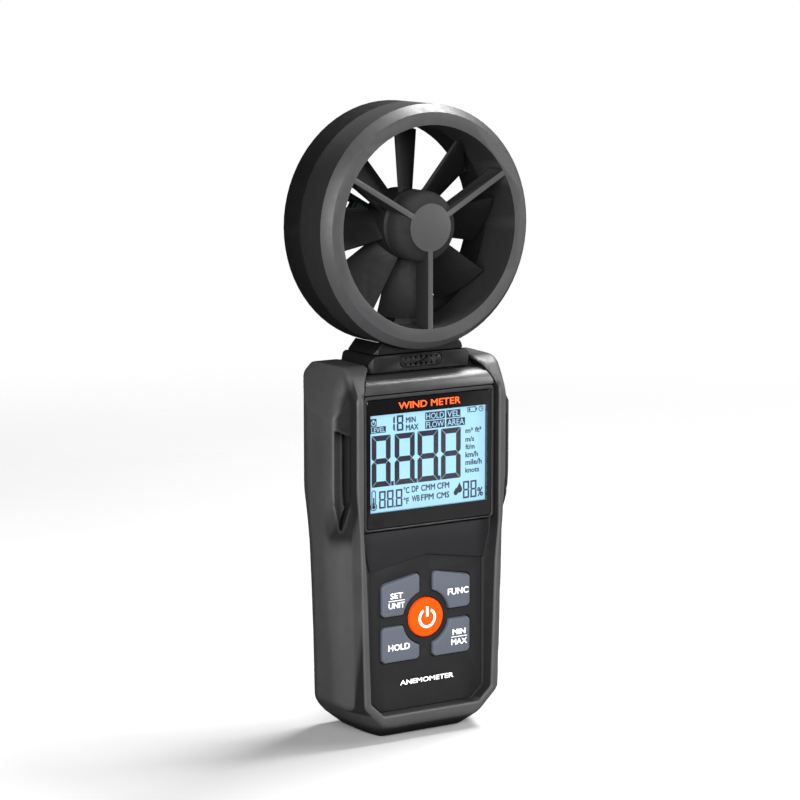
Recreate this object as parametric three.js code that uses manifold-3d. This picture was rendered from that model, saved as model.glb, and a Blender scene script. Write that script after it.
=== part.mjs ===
// Hand-held vane anemometer: a measuring head with an eight-bladed impeller on a swivel neck,
// above a battery-powered meter with a display and five keys.
// Millimetres, +Z up, front towards -Y, standing on Z = 0.
import * as THREE from "three";
import { mergeVertices } from "three/addons/utils/BufferGeometryUtils.js";
import Module from "manifold-3d";

const wasm = await Module();
wasm.setup();

// ---- driving dimensions ----
const GAP = 0.3; // clearance between touching pieces
const HEAD_Z = 150.5; // height of the impeller axis
const FACE_Y = -14; // front face of the measuring head
const HEAD_DEPTH = 26;
const HEAD_R = 35.5; // outer radius of the head
const BORE_R = 29.5; // flow passage
const RIM_R = 33.2; // outer edge of the flat ring faces
const BEVEL = 2.8; // axial length of the bevel round each face
const PARTING_Y = -0.4; // joint between the two head covers
const SPOKE_W = 1.6;
const SPOKE_DEPTH = 6.6;
const SPOKE_ANGLES = [30, 150, 270];
const DISC_R = 6.95; // flat disc at the middle of the front cover
const HUB_R = 10.4; // fixed hub and impeller barrel
const SHAFT_R = 0.95;
const SHAFT_END_R = 1.4; // free room round each end of the shaft
const BEARING_SEAT_R = 3.2;
const FRONT_HUB_BACK_Y = -7;
const REAR_HUB_FRONT_Y = 5.9;
const MAGNET = { inner: 5.2, outer: 8.2, front: 1.6, back: 4.2 };
const BLADES = 8;
const BLADE_TIP_R = 27.9;
const BLADE_MID_Y = -0.3;
const SWIVEL_Y = -1; // axis of the neck swivel
const SEAM_Z = 113.7; // joint between the fixed and the turning part of the neck
const FRONT_Y = -15.4; // face of the raised strips of the jacket
const BACK_Y = 14.5;
const JACKET_WALL = 2.4;
const STRIP_RISE = 3.3; // of the strip faces above the case
const CASE_TOP = 108.4;
const SPLIT_Y = 0; // joint between front and rear case
const PANEL_Y = -11.4; // keypad surface
const KEY_TOP_Y = -12.3;
const KEY_TRAVEL = 0.8;
const POWER_Z = 35.2;
const POWER_R = 5.9;
const POWER_RING_R = 8.25; // concave corners of the four keys round the power key
const DOOR = { x: 18.4, low: 14.6, high: 65.4, inner: 12.7, outer: 14.2 };
const CELL_R = 5.25;
const CELL_X = [-12, 0, 12];
const CELL_Y = 7.15;
const CELL_Z = [18.2, 61.8];
const RAD = Math.PI / 180;

// ---- geometry helpers ----
function manifoldOf(positions, triVerts) {
  return new wasm.Manifold(new wasm.Mesh({ numProp: 3, vertProperties: positions, triVerts }));
}

// A closed three.js geometry as a solid that faces outwards.
function solid(geometry) {
  const bare = geometry.clone();
  bare.deleteAttribute("normal");
  bare.deleteAttribute("uv");
  const merged = mergeVertices(bare, 1e-4);
  const kept = [];
  for (let i = 0; i < merged.index.count; i += 3) {
    const [a, b, c] = [0, 1, 2].map((k) => merged.index.getX(i + k));
    if (a !== b && b !== c && c !== a) kept.push(a, b, c);
  }
  const positions = new Float32Array(merged.attributes.position.array);
  const made = manifoldOf(positions, new Uint32Array(kept));
  if (made.volume() >= 0) return made;
  return manifoldOf(positions, new Uint32Array(kept.reverse()));
}

function shapeOf(points) {
  return new THREE.Shape(points.map(([x, y]) => new THREE.Vector2(x, y)));
}

function extrude(points, depth) {
  return new THREE.ExtrudeGeometry(shapeOf(points), { depth, bevelEnabled: false, curveSegments: 12 });
}

// Outline in X and Z, from y0 to y1.
function prismY(points, y0, y1) {
  return solid(extrude(points, y1 - y0).rotateX(Math.PI / 2).translate(0, y1, 0));
}

// Outline in X and Y, from z0 to z1.
function prismZ(points, z0, z1) {
  return solid(extrude(points, z1 - z0).translate(0, 0, z0));
}

// Outline in Y and Z, from x0 to x1.
function prismX(points, x0, x1) {
  const turned = extrude(points, x1 - x0).rotateY(Math.PI / 2).rotateX(Math.PI / 2);
  return solid(turned.translate(x0, 0, 0));
}

function box(x0, x1, y0, y1, z0, z1) {
  const g = new THREE.BoxGeometry(x1 - x0, y1 - y0, z1 - z0);
  return solid(g.translate((x0 + x1) / 2, (y0 + y1) / 2, (z0 + z1) / 2));
}

// Profile of [radius, y] turned about the Y axis through (x, z).
function latheY(profile, segments = 48, x = 0, z = HEAD_Z) {
  const points = [...profile, profile[0]].map(([r, y]) => new THREE.Vector2(r, y));
  return solid(new THREE.LatheGeometry(points, segments).translate(x, 0, z));
}

// Profile of [radius, z] turned about the vertical axis through (x, y).
function latheZ(profile, segments = 24, x = 0, y = 0) {
  const points = [...profile, profile[0]].map(([r, z]) => new THREE.Vector2(r, z));
  return solid(new THREE.LatheGeometry(points, segments).rotateX(Math.PI / 2).translate(x, y, 0));
}

function rodY(r, y0, y1, x, z, segments = 16) {
  const profile = [[0, y0], [r, y0], [r, y1], [0, y1]];
  return latheY(profile, segments, x, z);
}

function rodZ(r, z0, z1, x, y, segments = 16) {
  const profile = [[0, z0], [r, z0], [r, z1], [0, z1]];
  return latheZ(profile, segments, x, y);
}

// Skin over rings of equal point count, with flat end caps.
function loft(rings) {
  const n = rings[0].length;
  const positions = rings.flat(2);
  const faces = [];
  for (let r = 0; r + 1 < rings.length; r += 1) {
    for (let i = 0; i < n; i += 1) {
      const a = r * n + i;
      const b = r * n + ((i + 1) % n);
      faces.push(a, b, b + n, a, b + n, a + n);
    }
  }
  const start = capFaces(rings[0]);
  const end = capFaces(rings[rings.length - 1]);
  const last = (rings.length - 1) * n;
  start.forEach(([a, b, c]) => faces.push(a, c, b));
  end.forEach(([a, b, c]) => faces.push(last + a, last + b, last + c));
  const geometry = new THREE.BufferGeometry();
  geometry.setAttribute("position", new THREE.Float32BufferAttribute(positions, 3));
  geometry.setIndex(faces);
  return solid(geometry);
}

// Triangles over one flat ring, wound the same way as the ring runs.
function capFaces(ring) {
  const spans = [0, 1, 2].map((k) => {
    const values = ring.map((p) => p[k]);
    return Math.max(...values) - Math.min(...values);
  });
  const flat = spans.indexOf(Math.min(...spans));
  const [u, v] = [0, 1, 2].filter((k) => k !== flat);
  const contour = ring.map((p) => new THREE.Vector2(p[u], p[v]));
  const forwards = THREE.ShapeUtils.area(contour) > 0;
  const faces = THREE.ShapeUtils.triangulateShape(contour, []);
  return faces.map(([a, b, c]) => {
    const turn = THREE.ShapeUtils.area([contour[a], contour[b], contour[c]]) > 0;
    return turn === forwards ? [a, b, c] : [a, c, b];
  });
}

function cut(body, ...tools) {
  return tools.reduce((left, tool) => left.subtract(tool), body);
}

function join(...bodies) {
  return bodies.reduce((whole, more) => whole.add(more));
}

// Both halves of an outline given for positive X, running down from the top.
function mirrored(half) {
  const other = half.filter(([x]) => x > 1e-6).map(([x, z]) => [-x, z]).reverse();
  return [...half, ...other];
}

function roundRect(halfX, z0, z1, r, steps = 4) {
  const corners = [
    [halfX - r, z1 - r, 0],
    [-halfX + r, z1 - r, 90],
    [-halfX + r, z0 + r, 180],
    [halfX - r, z0 + r, 270],
  ];
  return corners.flatMap(([cx, cz, from]) => {
    const arc = [];
    for (let i = 0; i <= steps; i += 1) {
      const angle = (from + (90 * i) / steps) * RAD;
      arc.push([cx + r * Math.cos(angle), cz + r * Math.sin(angle)]);
    }
    return arc;
  });
}

function turnedAboutHead(body, degrees) {
  const matrix = new THREE.Matrix4().makeTranslation(0, 0, HEAD_Z);
  matrix.multiply(new THREE.Matrix4().makeRotationY(-degrees * RAD));
  matrix.multiply(new THREE.Matrix4().makeTranslation(0, 0, -HEAD_Z));
  return body.transform([...matrix.elements]);
}

// ---- the scene graph ----
const root = new THREE.Group();
root.name = "vane_anemometer";

function finish(color, roughness, metalness = 0) {
  return { color, roughness, metalness };
}

const DARK_ABS = finish(0x3a3a3b, 0.5);
const BLADE_ABS = finish(0x2b2b2c, 0.42);
const JACKET_TPE = finish(0x474748, 0.6);
const CASE_ABS = finish(0x333334, 0.48);
const PANEL_FILM = finish(0x242425, 0.55);
const GLOSS = finish(0x08080a, 0.08);
const KEY_RUBBER = finish(0x6e727b, 0.62);
const POWER_RUBBER = finish(0xf4661b, 0.5);
const LCD = finish(0x9fdcf3, 0.3);
const STEEL = finish(0x9a9a9c, 0.3, 1);
const BRASS = finish(0xb89a56, 0.35, 1);
const BOARD = finish(0x1f5a36, 0.55);
const SILICONE = finish(0x8d8f94, 0.7);
const CELL_SLEEVE = finish(0x3c4a5a, 0.4);

function add(name, body, look) {
  const mesh = body.getMesh();
  const geometry = new THREE.BufferGeometry();
  geometry.setAttribute("position", new THREE.BufferAttribute(new Float32Array(mesh.vertProperties), 3));
  geometry.setIndex(new THREE.BufferAttribute(new Uint32Array(mesh.triVerts), 1));
  geometry.computeVertexNormals();
  const node = new THREE.Mesh(geometry, new THREE.MeshStandardMaterial({ ...look, flatShading: true }));
  node.name = name;
  root.add(node);
}

// ---- measuring head ----
const HEAD_BACK_Y = FACE_Y + HEAD_DEPTH;
const TONGUE_R = 32.3; // lip of the front cover that locates the rear cover
const TONGUE = 1.6;
const SCREW_R = 31;
const SCREW_ANGLES = [90, 210, 330];

function spoke(degrees, inner, y0, y1) {
  const bar = box(inner, BORE_R + 1, y0, y1, HEAD_Z - SPOKE_W / 2, HEAD_Z + SPOKE_W / 2);
  return turnedAboutHead(bar, degrees);
}

function aroundHead(radius, degrees) {
  return [radius * Math.cos(degrees * RAD), HEAD_Z + radius * Math.sin(degrees * RAD)];
}

function frontCover() {
  const ring = latheY([
    [BORE_R, FACE_Y],
    [RIM_R, FACE_Y],
    [HEAD_R, FACE_Y + BEVEL],
    [HEAD_R, PARTING_Y],
    [TONGUE_R, PARTING_Y],
    [TONGUE_R, PARTING_Y + TONGUE],
    [BORE_R, PARTING_Y + TONGUE],
  ], 72);
  const hub = latheY([
    [0, FACE_Y],
    [DISC_R, FACE_Y],
    [DISC_R, FACE_Y + 0.4],
    [8.2, FACE_Y + 1],
    [9.3, FACE_Y + 1.8],
    [10, FACE_Y + 2.8],
    [HUB_R, FACE_Y + 4],
    [HUB_R, FRONT_HUB_BACK_Y],
    [BEARING_SEAT_R, FRONT_HUB_BACK_Y],
    [BEARING_SEAT_R, -10],
    [SHAFT_END_R, -10],
    [SHAFT_END_R, -11.5],
    [0, -11.5],
  ]);
  const spokes = SPOKE_ANGLES.map((a) => spoke(a, DISC_R - 1, FACE_Y + 0.05, FACE_Y + SPOKE_DEPTH));
  const pilots = SCREW_ANGLES.map((a) => rodY(1, -8, 5, ...aroundHead(SCREW_R, a), 12));
  return cut(join(ring, hub, ...spokes), ...pilots);
}

function rearCover() {
  const ring = latheY([
    [TONGUE_R + GAP, PARTING_Y + GAP],
    [HEAD_R, PARTING_Y + GAP],
    [HEAD_R, HEAD_BACK_Y - BEVEL],
    [RIM_R, HEAD_BACK_Y],
    [BORE_R, HEAD_BACK_Y],
    [BORE_R, PARTING_Y + TONGUE + GAP],
    [TONGUE_R + GAP, PARTING_Y + TONGUE + GAP],
  ], 72);
  const hub = latheY([
    [0, HEAD_BACK_Y - 0.5],
    [6.5, HEAD_BACK_Y - 0.5],
    [8, HEAD_BACK_Y - 1.6],
    [8, REAR_HUB_FRONT_Y],
    [BEARING_SEAT_R, REAR_HUB_FRONT_Y],
    [BEARING_SEAT_R, 8.6],
    [SHAFT_END_R, 8.6],
    [SHAFT_END_R, 10],
    [0, 10],
  ]);
  const spokes = SPOKE_ANGLES.map((a) => spoke(a, 6, 6.4, HEAD_BACK_Y - 0.6));
  const arm = turnedAboutHead(box(7, 14.5, 6.9, 9.4, HEAD_Z + 0.5, HEAD_Z + 4), 150);
  const holes = SCREW_ANGLES.map((a) => join(
    rodY(1, -3, HEAD_BACK_Y, ...aroundHead(SCREW_R, a), 12),
    rodY(1.4, HEAD_BACK_Y - 2.2, HEAD_BACK_Y + 1, ...aroundHead(SCREW_R, a), 12),
  ));
  return cut(join(ring, hub, ...spokes, arm), ...holes);
}

// Extent round the axis, extent along it and half thickness of a blade at its two ends.
const BLADE_ROOT = { along: 7.4, deep: 5.4, half: 0.55 };
const BLADE_TIP = { along: 13.6, deep: 10.2, half: 0.35 };
const BLADE_CHORD = [-0.5, -0.3, -0.1, 0.1, 0.3, 0.5];
const BLADE_RINGS = 7;

// Twisted plate whose ends follow the hub and the tip circle.
function blade(index) {
  const rings = [];
  for (let i = 0; i <= BLADE_RINGS; i += 1) {
    const share = i / BLADE_RINGS;
    const radius = THREE.MathUtils.lerp(HUB_R - 0.9, BLADE_TIP_R, share);
    const along = THREE.MathUtils.lerp(BLADE_ROOT.along, BLADE_TIP.along, share);
    const deep = THREE.MathUtils.lerp(BLADE_ROOT.deep, BLADE_TIP.deep, share);
    const half = THREE.MathUtils.lerp(BLADE_ROOT.half, BLADE_TIP.half, share);
    const pitch = Math.atan2(deep, along);
    const ring = [];
    for (const side of [1, -1]) {
      for (const chord of BLADE_CHORD) {
        const t = side * chord;
        const bow = 0.5 * (1 - 4 * t * t);
        const tangent = along * t + side * half * Math.sin(pitch);
        const y = BLADE_MID_Y + deep * t - side * half * Math.cos(pitch) - bow;
        const angle = Math.PI / 2 - (index * 2 * Math.PI) / BLADES - tangent / radius;
        ring.push([radius * Math.cos(angle), y, HEAD_Z + radius * Math.sin(angle)]);
      }
    }
    rings.push(ring);
  }
  return bladeSkin(rings);
}

function bladeSkin(rings) {
  const n = rings[0].length;
  const faces = [];
  for (let r = 0; r + 1 < rings.length; r += 1) {
    for (let i = 0; i < n; i += 1) {
      const a = r * n + i;
      const b = r * n + ((i + 1) % n);
      faces.push(a, b, b + n, a, b + n, a + n);
    }
  }
  const last = (rings.length - 1) * n;
  for (let i = 0; i + 1 < n / 2; i += 1) {
    const j = n - 1 - i;
    faces.push(i, j, j - 1, i, j - 1, i + 1);
    faces.push(last + i, last + j - 1, last + j, last + i, last + i + 1, last + j - 1);
  }
  const geometry = new THREE.BufferGeometry();
  geometry.setAttribute("position", new THREE.Float32BufferAttribute(rings.flat(2), 3));
  geometry.setIndex(faces);
  return solid(geometry);
}

function impeller() {
  const hub = latheY([
    [SHAFT_R + GAP, -6.3],
    [8.4, -6.3],
    [HUB_R, -5],
    [HUB_R, 5],
    [8.6, 5],
    [8.6, -3.5],
    [3, -3.5],
    [3, 4.4],
    [SHAFT_R + GAP, 4.4],
  ]);
  const blades = [];
  for (let i = 0; i < BLADES; i += 1) blades.push(blade(i));
  return join(hub, ...blades);
}

add("vane_front_cover", frontCover(), DARK_ABS);
add("vane_rear_cover", rearCover(), DARK_ABS);
add("impeller", impeller(), BLADE_ABS);
add("impeller_shaft", rodY(SHAFT_R, -9.6, 8.3, 0, HEAD_Z), STEEL);
add("impeller_magnet", latheY([
  [MAGNET.inner, MAGNET.front],
  [MAGNET.outer, MAGNET.front],
  [MAGNET.outer, MAGNET.back],
  [MAGNET.inner, MAGNET.back],
], 32), STEEL);

const BEARING = [[SHAFT_R + GAP, 0], [2.9, 0], [2.9, 2.2], [SHAFT_R + GAP, 2.2]];
add("front_bearing", latheY(BEARING.map(([r, y]) => [r, y - 9.6]), 24), BRASS);
add("rear_bearing", latheY(BEARING.map(([r, y]) => [r, y + 6.2]), 24), BRASS);
add("pickup_board", turnedAboutHead(box(9.6, 14, 5.5, 6.6, HEAD_Z + 0.8, HEAD_Z + 3.8), 150), BOARD);

SCREW_ANGLES.forEach((a, i) => {
  const [x, z] = aroundHead(SCREW_R, a);
  const head = rodY(1.1, HEAD_BACK_Y - 1.9, HEAD_BACK_Y - 0.5, x, z, 12);
  const slot = box(x - 1.5, x + 1.5, HEAD_BACK_Y - 0.9, HEAD_BACK_Y, z - 0.2, z + 0.2);
  add(`head_screw_${i + 1}`, cut(join(head, rodY(0.7, -7, HEAD_BACK_Y - 1, x, z, 12)), slot), STEEL);
});

// ---- swivel neck ----
const NECK_FRONT_Y = -8.4;
const NECK_BACK_Y = 7.4;
const SPINDLE_R = 4;

function neckPlan(halfX, front, back, corner) {
  return [
    [halfX - corner, front],
    [halfX, front + corner],
    [halfX, back - corner],
    [halfX - corner, back],
    [-halfX + corner, back],
    [-halfX, back - corner],
    [-halfX, front + corner],
    [-halfX + corner, front],
  ];
}

function swivelFoot() {
  const outline = [
    [15.5, SEAM_Z + 0.15],
    [15.5, SEAM_Z + 0.5],
    [12.6, 117.6],
    [10, 119],
    [-10, 119],
    [-12.6, 117.6],
    [-15.5, SEAM_Z + 0.5],
    [-15.5, SEAM_Z + 0.15],
  ];
  const block = prismY(outline, NECK_FRONT_Y, NECK_BACK_Y - 1);
  const plan = prismZ(neckPlan(15.6, NECK_FRONT_Y, NECK_BACK_Y, 1.2), SEAM_Z, 125);
  const ring = latheY([[0, -30], [HEAD_R + GAP, -30], [HEAD_R + GAP, 30], [0, 30]], 72);
  const spindle = rodZ(SPINDLE_R, 100.5, SEAM_Z + 1, 0, SWIVEL_Y, 32);
  const groove = latheZ([[3.2, 102.4], [6, 102.4], [6, 103.6], [3.2, 103.6]], 32, 0, SWIVEL_Y);
  const wire = rodZ(2.2, 99, 125, 0, SWIVEL_Y, 24);
  return cut(join(block.intersect(plan).subtract(ring), spindle), groove, wire);
}

function grilleHoles() {
  const radii = [0.32, 0.36, 0.46, 0.58, 0.46, 0.36, 0.32];
  const holes = [];
  for (const z of [110.45, 112.4]) {
    radii.forEach((r, i) => holes.push(rodY(r, NECK_FRONT_Y - 2, -6.5, -5.5 + (i * 10.8) / 6, z, 8)));
  }
  return holes;
}

function swivelBase() {
  const top = SEAM_Z - 0.15;
  const outline = mirrored([
    [0, top],
    [15.6, top],
    [16.5, 112.9],
    [17.3, 111.6],
    [17.7, 110.1],
    [17.6, CASE_TOP + GAP],
    [0, CASE_TOP + GAP],
  ]);
  const block = prismY(outline, NECK_FRONT_Y - 0.6, NECK_BACK_Y + 0.6);
  const plan = prismZ(neckPlan(17.8, NECK_FRONT_Y - 0.6, NECK_BACK_Y + 0.6, 1.4), CASE_TOP, SEAM_Z);
  const plug = box(-12, 12, -6.4, 5.4, 104.4, CASE_TOP + 1);
  const bore = rodZ(SPINDLE_R + GAP, 100, 120, 0, SWIVEL_Y, 32);
  const chamber = box(-8, 8, -7.9, -5.9, 107.4, SEAM_Z - 0.8);
  const vent = box(-8, 8, -7.9, -5.9, 100, 108);
  return cut(join(block.intersect(plan), plug), bore, chamber, vent, ...grilleHoles());
}

add("swivel_foot", swivelFoot(), DARK_ABS);
add("swivel_base", swivelBase(), CASE_ABS);
const CLIP = [[3.45, 102.65], [5.6, 102.65], [5.6, 103.35], [3.45, 103.35]];
const CLIP_MOUTH = box(-2, 2, SWIVEL_Y, SWIVEL_Y + 8, 100, 106);
add("swivel_clip", latheZ(CLIP, 24, 0, SWIVEL_Y).subtract(CLIP_MOUTH), STEEL);
const WASHER = [[4.6, 103.7], [5.5, 103.7], [5.5, 104.1], [4.6, 104.1]];
add("friction_washer", latheZ(WASHER, 24, 0, SWIVEL_Y), STEEL);
add("humidity_board", box(-7, 7, -7.5, -6.5, 108.9, 112.5), BOARD);

// ---- body of the meter ----
// Half outline of a level section, from the front edge of the strip to the back, moved in by the inset.
function bodyHalf(station, inset) {
  const { strip, valley, brow, grip } = station;
  const k = inset / JACKET_WALL;
  return [
    [strip - 1.5 * k, FRONT_Y + inset],
    [valley[0] - 1.5 * k, valley[1] + inset * 0.6],
    [brow[0] - inset * 0.8, brow[1] + inset * 0.8],
    [grip - inset, brow[1] + 2 + inset * 0.4],
    [grip - inset, 3.5],
    [grip - 1.2 - inset, 7.6],
    [grip - 4.6 - inset * 0.8, 11.8 - inset * 0.8],
    [grip - 9.5 - inset * 0.4, BACK_Y - inset],
  ];
}

const STATIONS = [
  { z: -2, strip: 22.7, valley: [23.8, -9], brow: [25.4, -6.6], grip: 26 },
  { z: 10.5, strip: 23.2, valley: [24.2, -9.1], brow: [26, -6.5], grip: 26.6 },
  { z: 25, strip: 23.7, valley: [24.8, -9.1], brow: [26.8, -6.5], grip: 27.3 },
  { z: 44, strip: 24.2, valley: [25.3, -9.2], brow: [27.6, -6.7], grip: 28.2 },
  { z: 60, strip: 24.6, valley: [25.7, -9.8], brow: [28.6, -7.8], grip: 29.4 },
  { z: 67.5, strip: 25.1, valley: [25.8, -11], brow: [29.8, -8.9], grip: 30.6 },
  { z: 73.5, strip: 25.7, valley: [26, -11.8], brow: [30.8, -9.7], grip: 31.5 },
  { z: 98, strip: 25.7, valley: [26, -11.8], brow: [30.8, -9.7], grip: 31.5 },
  { z: 102, strip: 25.7, valley: [26, -11.8], brow: [29.4, -8.8], grip: 30 },
  { z: 107, strip: 25.7, valley: [26, -11.4], brow: [27.6, -7.6], grip: 28.2 },
  { z: 113, strip: 25.5, valley: [25.7, -11], brow: [25.8, -7], grip: 26 },
];

function bodyLoft(inset) {
  const rings = STATIONS.map((station) => {
    const half = bodyHalf(station, inset);
    const left = half.map(([x, y]) => [-x, y]).reverse();
    return [...half, ...left].map(([x, y]) => [x, y, station.z]);
  });
  return loft(rings);
}

function frontOutline(inset) {
  return mirrored([
    [0, 111.2 - inset],
    [22, 111.2 - inset],
    [25, 110.6 - inset],
    [28.2 - inset * 0.5, 107.6 - inset * 0.8],
    [34 - inset, 97],
    [34 - inset, 17.6],
    [26.6 - inset * 0.7, 10.5 + inset * 0.3],
    [15.5 - inset * 0.4, inset],
    [0, inset],
  ]);
}

function sideOutline(inset) {
  return [
    [FRONT_Y + inset, 4.1 + inset * 0.5],
    [FRONT_Y + 5.5 + inset * 0.4, inset],
    [BACK_Y - 5 - inset * 0.4, inset],
    [BACK_Y - 1.2 - inset * 0.8, 1.8 + inset * 0.8],
    [BACK_Y - inset, 6 + inset * 0.4],
    [BACK_Y - inset, 100 - inset],
    [BACK_Y - 2 - inset, 105.5 - inset],
    [BACK_Y - 6 - inset, 109.6 - inset],
    [3, 111.2 - inset],
    [-9, 111.2 - inset],
    [-11.4, 110.4 - inset],
    [-13.1, 108.3 - inset],
    [FRONT_Y + inset, 103.6 - inset],
  ];
}

function bodyEnvelope(inset) {
  const side = prismX(sideOutline(inset), -50, 50);
  return bodyLoft(inset).intersect(prismY(frontOutline(inset), -30, 30)).intersect(side);
}

// Straight-sided room inside the jacket for the hard case.
function caseHalf(station, inset) {
  const half = station.strip - 1.5 - inset;
  return [
    [half, FRONT_Y + STRIP_RISE + inset],
    [half, 5],
    [half - 3.2, BACK_Y - JACKET_WALL - inset],
  ];
}

function caseOutline(inset) {
  return mirrored([
    [0, CASE_TOP - inset],
    [20.4 - inset * 0.7, CASE_TOP - inset],
    [23.6 - inset, 104.6 - inset * 0.6],
    [23.6 - inset, 97],
    [23.6 - inset, 14],
    [21.4 - inset, 10.6 + inset * 0.2],
    [15 - inset * 0.5, 4 + inset],
    [0, 4 + inset],
  ]);
}

function caseEnvelope(inset) {
  const rings = STATIONS.map((station) => {
    const half = caseHalf(station, inset);
    const left = half.map(([x, y]) => [-x, y]).reverse();
    return [...half, ...left].map(([x, y]) => [x, y, station.z]);
  });
  const side = prismX([
    [-12.1 + inset, 6 + inset],
    [-9, 4 + inset],
    [9, 4 + inset],
    [12.1 - inset, 7 + inset],
    [12.1 - inset, 101 - inset],
    [8, 106.6 - inset],
    [4, CASE_TOP - inset],
    [-7.5, CASE_TOP - inset],
    [-12.1 + inset, 103 - inset],
  ], -50, 50);
  return loft(rings).intersect(prismY(caseOutline(inset), -30, 30)).intersect(side);
}

// Inner edge of each arm that stands up beside the neck.
const ARM_EDGE = [
  [18.1, 110.4],
  [20.2, 108.6],
  [21.6, 106.4],
  [22.6, 104.2],
];

// Opening of the jacket at the front, wide at the strip faces and narrower at the panel.
const WINDOW_OUTLINE = mirrored([
  [0, 116],
  [18.1, 116],
  ...ARM_EDGE,
  [23.4, 102.2],
  [23.4, 61.5],
  [23.1, 54.5],
  [21.8, 25.5],
  [21.25, 12.3],
  [16.7, 8],
  [0, 8],
]);
const WINDOW_FLOOR = mirrored([
  [0, 116],
  [18.1, 116],
  ...ARM_EDGE,
  [23.1, 102.2],
  [23.1, 61.5],
  [19.9, 50.8],
  [19.9, 25.5],
  [19.9, 12],
  [15.6, 8.2],
  [0, 8.2],
]);

// Room between the two arms of the jacket, above the display.
function armOutline(inset) {
  return mirrored([
    [0, 116],
    [18.1 - inset, 116],
    ...ARM_EDGE.map(([x, z]) => [x - inset, z - inset * 0.5]),
    [23.1 - inset, 102.2],
    [0, 102.2],
  ]);
}

function between(front, y0, back, y1) {
  return loft([front.map(([x, z]) => [x, y0, z]), back.map(([x, z]) => [x, y1, z])]);
}

// Blade-shaped recess in the side of the grip.
function sideRecess(side) {
  const outline = [
    [-3, 92.4],
    [-11.5, 92],
    [-12.8, 90.8],
    [-12.9, 71.8],
    [-11.5, 68.6],
    [-7, 62.8],
    [-3, 69],
  ];
  return side > 0 ? prismX(outline, 24.7, 30.1) : prismX(outline, -30.1, -24.7);
}

const BACK_WINDOW = { x: 20.2, low: 10.5, high: 98 };

function gripJacket() {
  const window = between(WINDOW_OUTLINE, FRONT_Y - 0.5, WINDOW_FLOOR, FRONT_Y + STRIP_RISE + 0.2);
  const neck = box(-18.1, 18.1, -9.4, 8.4, 104, 120);
  const arms = prismY(armOutline(0), FRONT_Y - 0.5, -4);
  const back = prismY(roundRect(BACK_WINDOW.x, BACK_WINDOW.low, BACK_WINDOW.high, 3), 5, 20);
  return cut(bodyEnvelope(0), caseEnvelope(0), window, arms, neck, back, sideRecess(1), sideRecess(-1));
}

// ---- keys ----
function arcAboutPower(radius, from, to, steps) {
  const points = [];
  for (let i = 0; i <= steps; i += 1) {
    const a = (from + ((to - from) * i) / steps) * RAD;
    points.push([radius * Math.cos(a), POWER_Z + radius * Math.sin(a)]);
  }
  return points;
}

// Outline of one corner key; grow widens it for the opening it sits in.
function keyOutline(right, upper, grow) {
  const r = POWER_RING_R - grow;
  const inner = 2.4 - grow;
  const outer = 15.4 + grow;
  const near = upper ? 1.6 - grow : -(1.5 - grow);
  const farInner = upper ? 13.6 + grow : -(12.2 + grow);
  const farOuter = upper ? 11.5 + grow : -(12.2 + grow);
  const a0 = Math.acos(inner / r) / RAD;
  const a1 = Math.asin(Math.abs(near) / r) / RAD;
  const sign = upper ? 1 : -1;
  const arc = arcAboutPower(r, sign * a0, sign * a1, 5);
  const soft = 0.8;
  const outline = [
    ...arc,
    [outer - soft, POWER_Z + near],
    [outer, POWER_Z + near + sign * soft],
    [outer, POWER_Z + farOuter - sign * soft],
    [outer - soft, POWER_Z + farOuter],
    [inner + soft, POWER_Z + farInner],
    [inner, POWER_Z + farInner - sign * soft],
  ];
  return right ? outline : outline.map(([x, z]) => [-x, z]);
}

const KEYS = [
  { name: "key_set_unit", right: false, upper: true },
  { name: "key_func", right: true, upper: true },
  { name: "key_hold", right: false, upper: false },
  { name: "key_min_max", right: true, upper: false },
];
const KEY_FOOT_Y = -8.4;

function circle(radius, steps = 32) {
  return arcAboutPower(radius, 0, 360 - 360 / steps, steps - 1);
}

function keyOpenings(y0, y1) {
  const corners = KEYS.map((k) => prismY(keyOutline(k.right, k.upper, GAP), y0, y1));
  return [...corners, prismY(circle(POWER_R + GAP), y0, y1)];
}

KEYS.forEach((k) => {
  const top = keyOutline(k.right, k.upper, -0.25);
  const side = keyOutline(k.right, k.upper, 0);
  const cap = between(top, KEY_TOP_Y, side, KEY_TOP_Y + 0.5);
  add(k.name, join(cap, prismY(side, KEY_TOP_Y + 0.5, KEY_FOOT_Y)), KEY_RUBBER);
});
add("key_power", join(
  between(circle(POWER_R - 0.5), KEY_TOP_Y - 0.1, circle(POWER_R), KEY_TOP_Y + 0.5),
  prismY(circle(POWER_R), KEY_TOP_Y + 0.5, KEY_FOOT_Y),
), POWER_RUBBER);

// ---- display ----
const BEZEL = { x: 22.5, low: 63.4, high: 102.9 };
const LENS = { x: 21.5, low: 64, high: 101.6, front: -13.6, back: -12.4 };

function displayBezel() {
  const rim = prismY(roundRect(BEZEL.x, BEZEL.low, BEZEL.high, 1.2), -13.8, -11.9);
  const skirt = prismY(roundRect(21.9, 64, 102.3, 1), -12, -9.6);
  const seatOutline = roundRect(LENS.x + GAP, LENS.low - GAP, LENS.high + GAP, 0.9);
  const seat = prismY(seatOutline, -15, LENS.back + 0.3);
  const view = prismY(roundRect(20.9, 66, 100, 0.6), -20, 0);
  return cut(join(rim, skirt), seat, view);
}

add("display_bezel", displayBezel(), CASE_ABS);
add("display_lens", prismY(roundRect(LENS.x, LENS.low, LENS.high, 0.7), LENS.front, LENS.back), GLOSS);
add("lcd_panel", box(-20.6, 20.6, -12, -10.2, 66.3, 99.7), LCD);
add("lcd_backlight", box(-20.4, 20.4, -9.9, -7.6, 66.6, 99.4), finish(0xd8e8ee, 0.5));
add("lcd_connector", box(-17, 17, -7.3, -5.1, 68, 70.5), SILICONE);

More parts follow.
